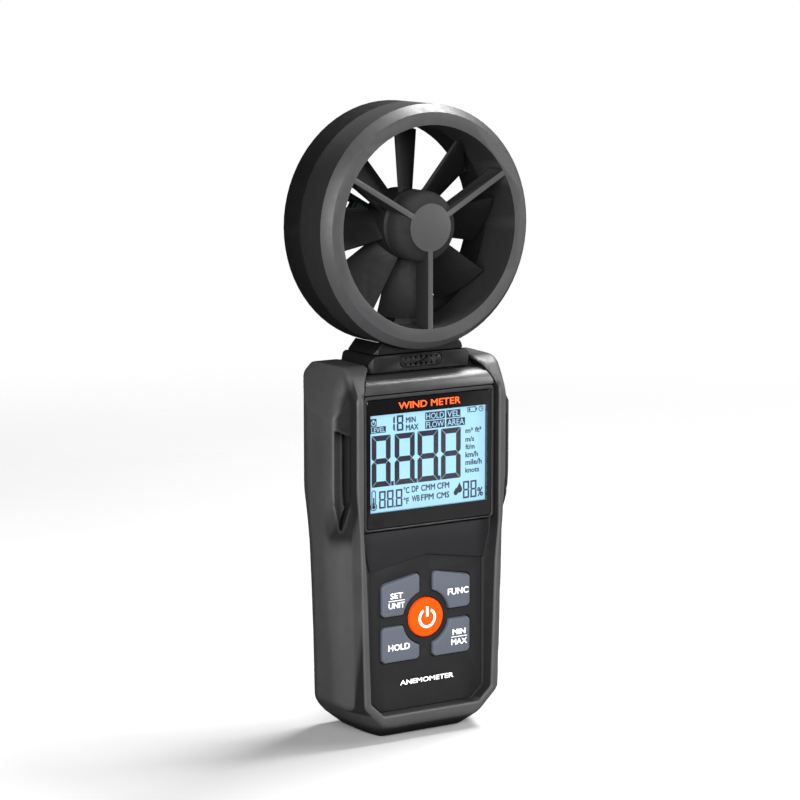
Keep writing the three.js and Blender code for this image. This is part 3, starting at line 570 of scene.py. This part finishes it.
def jacket_outer(x, y, z):
    """The jacket's outside: a core that ends in the strips, a grip on each side, and both ends."""
    ax = np.sqrt(x * x + 0.01)  # distance from the middle, without a crease there
    strip = along(z, STRIP_Z, STRIP_X)
    grip = along(z, GRIP_Z, GRIP_X)
    high = np.clip((z - 56) / 14, 0, 1)
    high = high * high * (3 - 2 * high)  # 0 on the lower half of the grip, 1 on the upper half
    # core, flaring slightly towards the back
    core = ax - strip - 0.12 * (y - FRONT_Y)
    core = both(core, FRONT_Y - y, 0.3)
    # grips, whose front is a slanting brow
    low_brow = (-9.4 + 1.15 * np.maximum(ax - strip - 1, 0) - y) / 1.5
    high_brow = 0.396 * np.maximum(ax, 25.2) - 0.918 * y - 21.19
    bulge = ax - grip + 0.02 * np.maximum(-4 - y, 0) ** 2 * high
    shoulder = both(0.935 * ax + 0.354 * z - 64.3, 0.921 * ax - 0.185 * y + 0.34 * z - 63.33, 2.0)
    flank = both(bulge, shoulder, 0.25)
    corner = 3.6 - 2.9 * high + 4.5 * np.clip((z - 97) / 6, 0, 1)
    bulge = both(flank, low_brow * (1 - high) + high_brow * high, corner)
    whole = weld(core, bulge, 1.4 - 1.15 * high)
    # top, running down to the front in two slopes
    top = both(z - TOP_Z, -plane(y, z, (-13.0, 108.6), (-10.2, TOP_Z)), 2.5)
    top = both(top, -plane(y, z, (FRONT_Y, 103.5), (-13.0, 108.6)), 4)
    whole = both(whole, top, 1.8)
    whole = both(whole, flank, 0.3)
    # back and foot
    round_back = along(z, BACK_Z, BACK_ROUND)
    whole = both(whole, both(ax - grip, y - BACK_Y, round_back), 0.0)
    whole = both(whole, plane(y, z, (BACK_Y, 106.5), (BACK_Y - 4, TOP_Z)), 3)
    whole = both(whole, -z, 0.6)
    return both(whole, corner_chamfers(ax, y, z), 1.0)


ARM = [(18.1, 116), (18.1, 110.6), (20.2, 108.8), (21.6, 106.6), (22.6, 104.4)]
WINDOW_FACE = [(0, 116), *ARM, (23.5, 102.2), (23.5, 62), (23.1, 55), (21.8, 25.5), (21.25, 12.3), (16.7, 8)]
WINDOW_FLOOR = [(0, 116), *ARM, (23.1, 102.2), (23.1, 62), (19.9, 50.8), (19.9, 25.5), (19.9, 12),
                (15.6, 8.2)]
WINDOW_DEPTH = 3.4


def window_field(ax, y, z):
    """Front opening of the jacket, wider at the strip faces than at the panel."""
    depth = np.clip((y - FRONT_Y) / WINDOW_DEPTH, 0, 1)
    face = polygon(ax, z, mirrored(WINDOW_FACE))
    floor = polygon(ax, z, mirrored(WINDOW_FLOOR))
    return face * (1 - depth) + floor * depth


RECESS = [(0.25, 91.3), (4.85, 93.3), (4.85, 71.6), (3.0, 63.2), (0.25, 72.4)]
RECESS_SLOPE = (0.918, 0.396)  # direction of the shoulder face that the recess is sunk in
RECESS_EDGE = (25.7, -12)


def jacket_field(x, y, z):
    """The whole jacket: outer shape less window, neck, recesses, back opening and inside."""
    ax = np.abs(x)
    solid = jacket_outer(x, y, z)
    window = both(window_field(ax, y, z), y + 5)
    neck = brick(x, y, z, (-18.1, -9.6, 104), (18.1, 8.6, 120))
    solid = carve(solid, window, 0.35)
    solid = carve(solid, neck, 0.8)
    run, fall = RECESS_SLOPE
    edge_x, edge_y = RECESS_EDGE
    across = run * (ax - edge_x) + fall * (y - edge_y)
    inward = fall * (ax - edge_x) - run * (y - edge_y)
    recess = both(polygon(across, z, RECESS, 0.3), both(-inward - 7, inward - 3), 0.3)
    solid = carve(solid, recess, 0.3)
    back = both(polygon(x, z, rounded(-18.8, 18.8, 10.5, 98, 3, 5)), 5 - y)
    solid = carve(solid, back, 0.4)
    front_wall = -12.1 + 0.35 * np.maximum(z - 99, 0) - y
    room = both(ax - along(z, STRIP_Z, STRIP_X) + WALL, np.maximum(front_wall, y - 12.1), 0.5)
    room = both(room, slab(z, 4, 106), 1)
    room = both(room, corner_chamfers(ax, y, z) + WALL, 0.5)
    return carve(solid, room, 0.2)


JACKET_CELL = 0.5  # of the mesh
jacket_mesh = surface_nets(jacket_field, JACKET_LOW, JACKET_HIGH, JACKET_CELL)
jacket = mesh_piece("grip_jacket_skin", *jacket_mesh, JACKET, "meter")
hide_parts("grip_jacket")


# ---------------------------------------------------------------- pieces made over the CAD shapes
def dress(node, material, body, round_by=0.25, steps=3, smooth=36.0, groove=None):
    """A piece with the shape of a CAD node, its corners rounded and its surfaces shaded smooth.

    groove, when given, is a closed cutter that is taken out of the shape and removed.
    """
    mesh = NODES[node].data.copy()
    obj = bpy.data.objects.new(node + "_skin", mesh)
    SCENE.collection.objects.link(obj)
    work = bmesh.new()
    work.from_mesh(mesh)
    bmesh.ops.remove_doubles(work, verts=work.verts, dist=2e-6)
    bmesh.ops.dissolve_limit(work, angle_limit=math.radians(0.6), verts=work.verts, edges=work.edges)
    work.to_mesh(mesh)
    work.free()
    if groove:
        cut = obj.modifiers.new("groove", "BOOLEAN")
        cut.operation = "DIFFERENCE"
        cut.solver = "EXACT"
        cut.object = groove
        apply_modifiers(obj)
        bpy.data.objects.remove(groove)
    if round_by:
        edge = obj.modifiers.new("edges", "BEVEL")
        edge.width = round_by * MM
        edge.segments = steps
        edge.limit_method = "ANGLE"
        edge.angle_limit = math.radians(32)
        edge.use_clamp_overlap = True
        edge.miter_outer = "MITER_ARC"
        apply_modifiers(obj)
    mesh = obj.data
    mesh.polygons.foreach_set("use_smooth", [True] * len(mesh.polygons))
    mesh.set_sharp_from_angle(angle=math.radians(smooth))
    mesh.materials.clear()
    mesh.materials.append(material)
    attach(obj, body)
    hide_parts(node)


def paint(material, slot, *names):
    """Gives CAD nodes that stay as they are a material."""
    for name in names:
        NODES[name].data.materials.clear()
        NODES[name].data.materials.append(material)


GRILLE_AT = (-0.1, 111.42)
GROOVE_DEPTH = 0.3


def stadium(centre, half, reach, steps=12):
    """Outline with two half-round ends, half long to each side and reach high."""
    outline = []
    for end, start in ((half - reach, -90), (reach - half, 90)):
        for i in range(steps + 1):
            t = math.radians(start + 180 * i / steps)
            outline.append((centre[0] + end + reach * math.cos(t), centre[1] + reach * math.sin(t)))
    return outline


def grille_groove():
    """Ring cutter of the shallow groove round the air holes in the neck."""
    face = mm_box("swivel_base")[0][1]
    outer, inner = stadium(GRILLE_AT, 7.35, 1.95), stadium(GRILLE_AT, 7.05, 1.65)
    verts, faces = ring_prism(outer, inner, face - 1, face + GROOVE_DEPTH)
    mesh = bpy.data.meshes.new("grille_groove")
    mesh.from_pydata((np.array(verts) * MM).tolist(), [], faces)
    cutter = bpy.data.objects.new("grille_groove", mesh)
    SCENE.collection.objects.link(cutter)
    return cutter


dress("vane_front_cover", HEAD_FRONT, "head", 0.22)
dress("vane_rear_cover", HEAD_REAR_SHADED, "head", 0.22)
dress("swivel_foot", NECK_ABS, "head", 0.25)
dress("impeller", BLADE_ABS, "rotor", 0.15, 2)
dress("swivel_base", NECK_ABS, "meter", 0.09, 2, groove=grille_groove())
dress("front_case", CASE_ABS, "meter", 0.3)
dress("rear_case", CASE_ABS, "meter", 0.3)
dress("battery_door", CASE_ABS, "door", 0.25)
dress("display_bezel", CASE_ABS, "meter", 0.2)
dress("keypad_faceplate", PANEL, "meter", 0.15)
for key, body in (("key_set_unit", "set_unit_key"), ("key_func", "func_key"),
                  ("key_hold", "hold_key"), ("key_min_max", "min_max_key")):
    dress(key, KEY_GREY, body, 0.4, 4)
dress("key_power", KEY_ORANGE, "power_key", 0.45, 4)
paint(STEEL, "steel", "impeller_shaft", "swivel_clip", "contact_top_single", "contact_top_pair",
      "contact_bottom_pair", "contact_bottom_single", *(f"case_screw_{i}" for i in range(1, 5)),
      *(f"head_screw_{i}" for i in range(1, 4)))
paint(BRONZE, "bronze", "front_bearing", "rear_bearing")
paint(MAGNET, "steel", "impeller_magnet")
paint(BOARD, "board", "pickup_board", "humidity_board", "main_board")
paint(SILICONE, "silicone", "friction_washer", "lcd_connector", "keypad_membrane")
paint(DIFFUSER, "diffuser", "lcd_backlight")
paint(CELL, "cell_sleeve", "battery_1", "battery_2", "battery_3")


# ---------------------------------------------------------------- lettering
def flat_prism(name, outlines, y, depth, material, body):
    """Thin raised shapes on a front face: closed outlines of (x, z) points, standing depth proud of y."""
    verts, faces = [], []
    for outline in outlines:
        start, n = len(verts), len(outline)
        verts += [(px, y - depth, pz) for px, pz in outline] + [(px, y, pz) for px, pz in outline]
        area = sum(ax * bz - bx * az for (ax, az), (bx, bz) in zip(outline, outline[1:] + outline[:1]))
        order = list(range(n)) if area > 0 else list(range(n))[::-1]
        faces.append([start + i for i in order])
        faces.append([start + n + i for i in reversed(order)])
        for i, j in zip(order, order[1:] + order[:1]):
            faces.append([start + i, start + n + i, start + n + j, start + j])
    obj = mesh_piece(name, verts, faces, material, body, smooth=False)
    return obj


def ring_strip(cx, cz, outer, width, start, end, steps=28):
    """Outline of an arc-shaped stroke, angles in degrees from the right, counter-clockwise."""
    angles = [math.radians(start + (end - start) * i / steps) for i in range(steps + 1)]
    rim = [(cx + outer * math.cos(t), cz + outer * math.sin(t)) for t in angles]
    inner = outer - width
    return rim + [(cx + inner * math.cos(t), cz + inner * math.sin(t)) for t in reversed(angles)]


def rect(x0, z0, x1, z1):
    return [(x0, z0), (x1, z0), (x1, z1), (x0, z1)]


def words(name, text, span, y, depth, material, body, bold):
    """Lettering fitted to span = (x0, x1, z0, z1) on a front face.

    The bevel widens the strokes; flattened onto the face, it makes them bold.
    """
    curve = bpy.data.curves.new(name, "FONT")
    curve.body = text
    curve.size = 1.0
    curve.extrude = 0.5
    curve.bevel_depth = bold
    curve.bevel_resolution = 0
    curve.resolution_u = 3
    holder = bpy.data.objects.new(name + "_outline", curve)
    SCENE.collection.objects.link(holder)
    bpy.context.view_layer.update()
    depsgraph = bpy.context.evaluated_depsgraph_get()
    mesh = bpy.data.meshes.new_from_object(holder.evaluated_get(depsgraph))
    bpy.data.objects.remove(holder)
    bpy.data.curves.remove(curve)
    points = np.empty(len(mesh.vertices) * 3)
    mesh.vertices.foreach_get("co", points)
    points = points.reshape(-1, 3)
    low, high = points.min(axis=0), points.max(axis=0)
    x0, x1, z0, z1 = span
    place = np.empty_like(points)
    place[:, 0] = x0 + (points[:, 0] - low[0]) * (x1 - x0) / (high[0] - low[0])
    place[:, 1] = y - depth * (points[:, 2] > 0)
    place[:, 2] = z0 + (points[:, 1] - low[1]) * (z1 - z0) / (high[1] - low[1])
    mesh.vertices.foreach_set("co", (place * MM).ravel())
    work = bmesh.new()
    work.from_mesh(mesh)
    bmesh.ops.remove_doubles(work, verts=work.verts, dist=1e-7)
    bmesh.ops.recalc_face_normals(work, faces=work.faces)
    work.to_mesh(mesh)
    work.free()
    mesh.name = name
    obj = bpy.data.objects.new(name, mesh)
    SCENE.collection.objects.link(obj)
    mesh.materials.clear()
    mesh.materials.append(material)
    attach(obj, body)


def centred(x, z, width, height):
    return x - width / 2, x + width / 2, z - height / 2, z + height / 2


# ---------------------------------------------------------------- display
LENS_LOW, LENS_HIGH = mm_box("display_lens")
LCD_LOW, LCD_HIGH = mm_box("lcd_panel")
LENS_Y, LENS_BACK = LENS_LOW[1], LENS_HIGH[1]
WINDOW = (-20.3, 20.3, 68.6, 97.2)
INK_Y = LCD_LOW[1]


def frame_piece(name, outer, inner, y0, y1, material, body):
    """A flat frame between two outlines of equal point count, from y0 (front) to y1 (back)."""
    obj = mesh_piece(name, *ring_prism(outer, inner, y0, y1), material, body, smooth=False)
    edge = obj.modifiers.new("edges", "BEVEL")
    edge.width = 0.1 * MM
    edge.segments = 2
    edge.limit_method = "ANGLE"
    edge.angle_limit = math.radians(40)
    apply_modifiers(obj)
    return obj


border = frame_piece(
    "lens_border",
    rounded(LENS_LOW[0], LENS_HIGH[0], LENS_LOW[2], LENS_HIGH[2], 0.8),
    rounded(*WINDOW, 0.3),
    LENS_Y, LENS_BACK, LENS_BLACK, "meter",
)
frame_piece(
    "lens_window",
    rounded(WINDOW[0] + 0.02, WINDOW[1] - 0.02, WINDOW[2] + 0.02, WINDOW[3] - 0.02, 0.3),
    rounded(-0.02, 0.02, 82.98, 83.02, 0.01),
    LENS_Y + 0.02, LENS_BACK - 0.3, LENS_CLEAR, "meter",
)
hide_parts("display_lens")
screen = flat_prism(
    "lcd_screen",
    [rounded(LCD_LOW[0], LCD_HIGH[0], LCD_LOW[2], LCD_HIGH[2], 0.2, 2)],
    LCD_HIGH[1], LCD_HIGH[1] - LCD_LOW[1], LCD_GLOW, "meter",
)
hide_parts("lcd_panel")


def u(share):
    """X of a share of the window's width, counted from its left edge."""
    return WINDOW[0] + share * (WINDOW[1] - WINDOW[0])


def v(share):
    """Z of a share of the window's height, counted from its top edge."""
    return WINDOW[3] - share * (WINDOW[3] - WINDOW[2])


def digit(x0, x1, z0, z1, t, lit="abcdefg"):
    """Outlines of a seven-segment figure with strokes t wide."""
    g = 0.06 * t
    h = t / 2
    zm = (z0 + z1) / 2
    left, right = x0 + h, x1 - h
    middle = [(left + g, zm), (left + h + g, zm + h), (right - h - g, zm + h), (right - g, zm),
              (right - h - g, zm - h), (left + h + g, zm - h)]

    def cap(z, side):
        inner = z - side * t
        return [(x0 + g, z), (x1 - g, z), (x1 - t - g, inner), (x0 + t + g, inner)]

    def post(x, side, z, up):
        """Upright stroke from the end z to the middle; side and up are 1 towards the inside."""
        return [(x, z + up * g), (x + side * t, z + up * (t + g)), (x + side * t, zm - up * (h + g)),
                (x + side * h, zm - up * g), (x, zm - up * (h + g))]

    shapes = {
        "a": cap(z1, 1), "d": cap(z0, -1), "g": middle, "f": post(x0, 1, z1, -1), "b": post(x1, -1, z1, -1),
        "e": post(x0, 1, z0, 1), "c": post(x1, -1, z0, 1),
    }
    return [shapes[k] for k in lit]


def thermometer_sign():
    cx = u(0.05)
    return [
        ring_strip(cx, v(0.945), 1.15, 0.3, 0, 359, 20),
        ring_strip(cx, v(0.945), 0.62, 0.6, 0, 359, 14),
        rect(cx - 0.22, v(0.93), cx + 0.22, v(0.85)),
        rect(cx - 0.75, v(0.91), cx - 0.5, v(0.8)),
        rect(cx + 0.5, v(0.91), cx + 0.75, v(0.8)),
        ring_strip(cx, v(0.8), 0.75, 0.25, 0, 180, 10),
    ]


def drops_sign():
    shapes = []
    for cx, cz, size in ((u(0.752), v(0.9), 0.75), (u(0.782), v(0.87), 1.0)):
        turns = [math.radians(t) for t in range(150, 391, 20)]
        round_part = [(cx + size * math.cos(t), cz + size * math.sin(t)) for t in turns]
        shapes.append(round_part + [(cx + 0.1, cz + 2.1 * size)])
    return shapes


def battery_sign():
    x0, x1, z0, z1 = u(0.852), u(0.926), v(0.075), v(0.02)
    line = 0.22
    return [
        rect(x0, z0, x1, z0 + line),
        rect(x0, z1 - line, x1, z1),
        rect(x0, z0, x0 + line, z1),
        rect(x1 - line, z0, x1, z1),
        rect(x1, z0 + 0.45, x1 + 0.35, z1 - 0.45),
        rect(x0 + 0.45, z0 + 0.4, x0 + 0.95, z1 - 0.4),
    ]


def clock_sign():
    cx, cz = u(0.97), v(0.048)
    return [
        ring_strip(cx, cz, 0.85, 0.2, 0, 359, 20),
        rect(cx - 0.1, cz, cx + 0.1, cz + 0.55),
        rect(cx, cz - 0.1, cx + 0.45, cz + 0.1),
    ]


INK_DEPTH = 0.06
LEGEND_DEPTH = 0.04
ink = []
for x0, x1 in ((-18.95, -12.5), (-11.1, -4.2), (-3.2, 4.0), (5.0, 11.9)):
    ink += digit(x0, x1, 75.9, 91.0, 1.6)
for x in (-11.85, -3.85, 4.35):
    ink.append(rect(x - 0.45, 75.9, x + 0.45, 77.2))
ink += digit(u(0.245), u(0.3), v(0.19), v(0.03), 0.55)
ink += digit(u(0.17), u(0.228), v(0.19), v(0.03), 0.55, "bc")
for a0, a1 in ((0.095, 0.15), (0.162, 0.217), (0.237, 0.292)):
    ink += digit(u(a0), u(a1), v(0.97), v(0.79), 0.5)
ink.append(rect(u(0.222), v(0.975), u(0.231), v(0.955)))
for a0, a1 in ((0.815, 0.868), (0.88, 0.933)):
    ink += digit(u(a0), u(a1), v(0.97), v(0.79), 0.5)
ink += thermometer_sign() + drops_sign() + battery_sign() + clock_sign()
# boxed legends, written light on dark
BOXED = {
    "level_word": ("LEVEL", 0.022, 0.152, 0.125, 0.19), "hold_word": ("HOLD", 0.487, 0.655, 0.03, 0.11),
    "vel_word": ("VEL", 0.668, 0.79, 0.03, 0.11), "flow_word": ("FLOW", 0.487, 0.655, 0.12, 0.2),
    "area_word": ("AREA", 0.668, 0.83, 0.12, 0.2),
}
for text, a0, a1, b0, b1 in BOXED.values():
    ink.append(rect(u(a0), v(b1), u(a1), v(b0)))
ink.append(rect(u(0.022), v(0.12), u(0.074), v(0.04)))
flat_prism("lcd_segments", ink, INK_Y, INK_DEPTH, LCD_INK, "meter")
dial = [ring_strip(u(0.048), v(0.085), 0.8, 0.25, 0, 359, 16),
        rect(u(0.044), v(0.085), u(0.052), v(0.05))]
flat_prism("lcd_icon", dial, INK_Y - INK_DEPTH, 0.03, LCD_GLOW, "meter")
for name, (text, a0, a1, b0, b1) in BOXED.items():
    inset = 0.12 * (b1 - b0)
    words(name, text, (u(a0 + 0.008), u(a1 - 0.008), v(b1 - inset), v(b0 + inset)),
          INK_Y - INK_DEPTH, 0.03, LCD_GLOW, "meter", 0.004)
PLAIN = {
    "min_word": ("MIN", 0.322, 0.405, 0.058, 0.115), "max_word": ("MAX", 0.322, 0.43, 0.135, 0.195),
    "unit_area": ("m\u00b2 ft\u00b2", 0.835, 0.975, 0.235, 0.29),
    "unit_ms": ("m/s", 0.835, 0.91, 0.325, 0.38),
    "unit_ftm": ("ft/m", 0.835, 0.915, 0.405, 0.46), "unit_kmh": ("km/h", 0.835, 0.945, 0.485, 0.545),
    "unit_mph": ("mile/h", 0.835, 0.978, 0.565, 0.625), "unit_knots": ("knots", 0.835, 0.955, 0.65, 0.705),
    "deg_c": ("\u00b0C", 0.303, 0.352, 0.775, 0.845), "deg_f": ("\u00b0F", 0.303, 0.348, 0.885, 0.955),
    "dp_word": ("DP", 0.372, 0.43, 0.775, 0.84), "cmm_word": ("CMM", 0.452, 0.572, 0.775, 0.84),
    "cfm_word": ("CFM", 0.59, 0.695, 0.775, 0.84), "wb_word": ("WB", 0.372, 0.44, 0.875, 0.94),
    "fpm_word": ("FPM", 0.452, 0.56, 0.875, 0.94), "cms_word": ("CMS", 0.585, 0.695, 0.875, 0.94),
    "percent": ("%", 0.94, 0.99, 0.87, 0.965),
}
for name, (text, a0, a1, b0, b1) in PLAIN.items():
    words(name, text, (u(a0), u(a1), v(b1), v(b0)), INK_Y, INK_DEPTH, LCD_INK, "meter", 0.022)
words("front_name", "WIND METER", centred(0, 99.4, 21.5, 2.0), LENS_Y, LEGEND_DEPTH, LENS_ORANGE, "meter",
      0.012)

# ---------------------------------------------------------------- key and panel legends
KEY_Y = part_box("key_set_unit")[0][1] / MM
POWER_LOW, POWER_HIGH = mm_box("key_power")
POWER_Z = (POWER_LOW[2] + POWER_HIGH[2]) / 2
PANEL_Y = mm_box("keypad_faceplate")[0][1]
for name, text, span, body in (
    ("set_word", "SET", centred(-10.6, 43.0, 4.3, 1.7), "set_unit_key"),
    ("unit_word", "UNIT", centred(-10.6, 40.1, 5.5, 1.7), "set_unit_key"),
    ("func_word", "FUNC", centred(11.0, 41.9, 7.3, 1.9), "func_key"),
    ("key_hold_word", "HOLD", centred(-9.75, 27.5, 7.5, 1.9), "hold_key"),
    ("key_min_word", "MIN", centred(11.35, 29.5, 4.5, 1.7), "min_max_key"),
    ("key_max_word", "MAX", centred(11.4, 26.5, 5.6, 1.7), "min_max_key"),
):
    words(name, text, span, KEY_Y, LEGEND_DEPTH, LEGEND, body, 0.014)
for name, outline, body in (
    ("set_line", rect(-13.4, 41.45, -7.8, 41.62), "set_unit_key"),
    ("min_line", rect(8.6, 27.92, 14.2, 28.09), "min_max_key"),
):
    flat_prism(name, [outline], KEY_Y, LEGEND_DEPTH, LEGEND, body)
power_shapes = [ring_strip(0, POWER_Z - 0.15, 3.0, 0.75, 120, 420, 40),
                rect(-0.38, POWER_Z + 0.2, 0.38, POWER_Z + 3.3)]
flat_prism("power_sign", power_shapes, POWER_LOW[1], LEGEND_DEPTH, LEGEND, "power_key")
words("kind_word", "ANEMOMETER", centred(0, 16.6, 18.8, 1.45), PANEL_Y, LEGEND_DEPTH, LEGEND, "meter",
      0.02)


# ---------------------------------------------------------------- camera, lights and floor
AZIMUTH = 32.573
ELEVATION = 9.177
CAMERA_AT = Vector((-455.25, -710.12, 234.64)) * MM
CENTRE = (0, 0, 0.09)


def placed(name, data):
    obj = bpy.data.objects.new(name, data)
    SCENE.collection.objects.link(obj)
    return obj


def aim_camera():
    """The photograph's camera: to the front left of the meter and a little above it."""
    camera = placed("camera", bpy.data.cameras.new("camera"))
    camera.location = CAMERA_AT
    a, e = math.radians(AZIMUTH), math.radians(ELEVATION)
    ahead = Vector((math.sin(a) * math.cos(e), math.cos(a) * math.cos(e), -math.sin(e)))
    camera.rotation_euler = ahead.to_track_quat("-Z", "Y").to_euler()
    camera.data.lens = 130.5
    camera.data.sensor_width = 36.0
    camera.data.clip_start = 0.01
    camera.data.clip_end = 20
    SCENE.camera = camera


def softbox(name, at, size, power):
    """Rectangular studio light that looks at the middle of the meter."""
    light = bpy.data.lights.new(name, "AREA")
    light.shape = "RECTANGLE"
    light.size, light.size_y = size
    light.energy = power
    obj = placed(name, light)
    obj.location = at
    obj.rotation_euler = (Vector(CENTRE) - Vector(at)).to_track_quat("-Z", "Y").to_euler()
    obj.visible_camera = False


def mirrored_spot(x, z, distance):
    """Where the camera's view of a spot on the lens goes after it is mirrored, distance mm away."""
    spot = Vector((x, LENS_Y, z))
    gaze = (spot - CAMERA_AT / MM).normalized()
    return spot + Vector((gaze.x, -gaze.y, gaze.z)) * distance


def hang_sheen_card(strength=0.55, distance=420):
    """A dim card seen only as a slanting sheen in the lower part of the display lens."""
    outline = ((17.5, 103.7), (-26, 63.6), (-26, 30), (40, 30), (40, 103.7))
    corners = [mirrored_spot(x, z, distance) * MM for x, z in outline]
    mesh = bpy.data.meshes.new("sheen_card")
    mesh.from_pydata(corners, [], [tuple(range(len(corners)))])
    mat, out, add, link = shader("sheen_card")
    clouds = noise(add("ShaderNodeTexCoord").outputs["Object"], 6.0, 2.0, add, link)
    glow = add("ShaderNodeEmission")
    link(ranged(clouds, strength * 0.9, strength * 1.1, add, link), glow.inputs["Strength"])
    link(glow.outputs["Emission"], out.inputs["Surface"])
    mesh.materials.append(mat)
    card = placed("sheen_card", mesh)
    card.visible_camera = False
    card.visible_diffuse = False
    card.visible_shadow = False


def light_world():
    """White behind the object, and almost no light from it on the object."""
    world = bpy.data.worlds.new("studio")
    SCENE.world = world
    world.use_nodes = True
    tree = world.node_tree
    sky = tree.nodes["Background"]
    paper = tree.nodes.new("ShaderNodeBackground")
    for background, strength in ((sky, 0.03), (paper, 1.0)):
        background.inputs["Color"].default_value = (1, 1, 1, 1)
        background.inputs["Strength"].default_value = strength
    seen = tree.nodes.new("ShaderNodeLightPath")
    pick = tree.nodes.new("ShaderNodeMixShader")
    tree.links.new(seen.outputs["Is Camera Ray"], pick.inputs["Fac"])
    tree.links.new(sky.outputs["Background"], pick.inputs[1])
    tree.links.new(paper.outputs["Background"], pick.inputs[2])
    tree.links.new(pick.outputs["Shader"], tree.nodes["World Output"].inputs["Surface"])


def lay_floor(half=6, fade_from=0.22, fade_to=0.75):
    """Pale floor that takes the shadow and fades into the white round the object; in metres."""
    mesh = bpy.data.meshes.new("floor")
    corners = [(-half, -half, 0), (half, -half, 0), (half, half, 0), (-half, half, 0)]
    mesh.from_pydata(corners, [], [(0, 1, 2, 3)])
    mat, out, add, link = shader("floor")
    place = add("ShaderNodeTexCoord")
    surface = add("ShaderNodeBsdfPrincipled")
    surface.inputs["Base Color"].default_value = (0.5, 0.5, 0.5, 1)
    reach = add("ShaderNodeVectorMath", operation="LENGTH")
    link(place.outputs["Object"], reach.inputs[0])
    fade = ranged(reach.outputs["Value"], 1.0, 0.0, add, link, fade_from, fade_to, "SMOOTHSTEP")
    link(fade, surface.inputs["Alpha"])
    patches = noise(place.outputs["Generated"], 160.0, 4.0, add, link)
    link(ranged(patches, 0.22, 0.3, add, link), surface.inputs["Roughness"])
    link(surface.outputs["BSDF"], out.inputs["Surface"])
    mesh.materials.append(mat)
    floor = placed("floor", mesh)
    floor.visible_glossy = False


aim_camera()
softbox("key", (-0.45, -1.2, 0.5), (0.6, 0.6), 25)
softbox("left", (-1.0, -0.78, 0.3), (0.5, 0.8), 24)
softbox("top", (0.5, 0.06, 0.95), (0.5, 0.3), 30)
softbox("fill_right", (1.0, -0.6, 0.45), (0.35, 0.9), 13)
hang_sheen_card()
light_world()
lay_floor()
SCENE.view_settings.view_transform = "Standard"
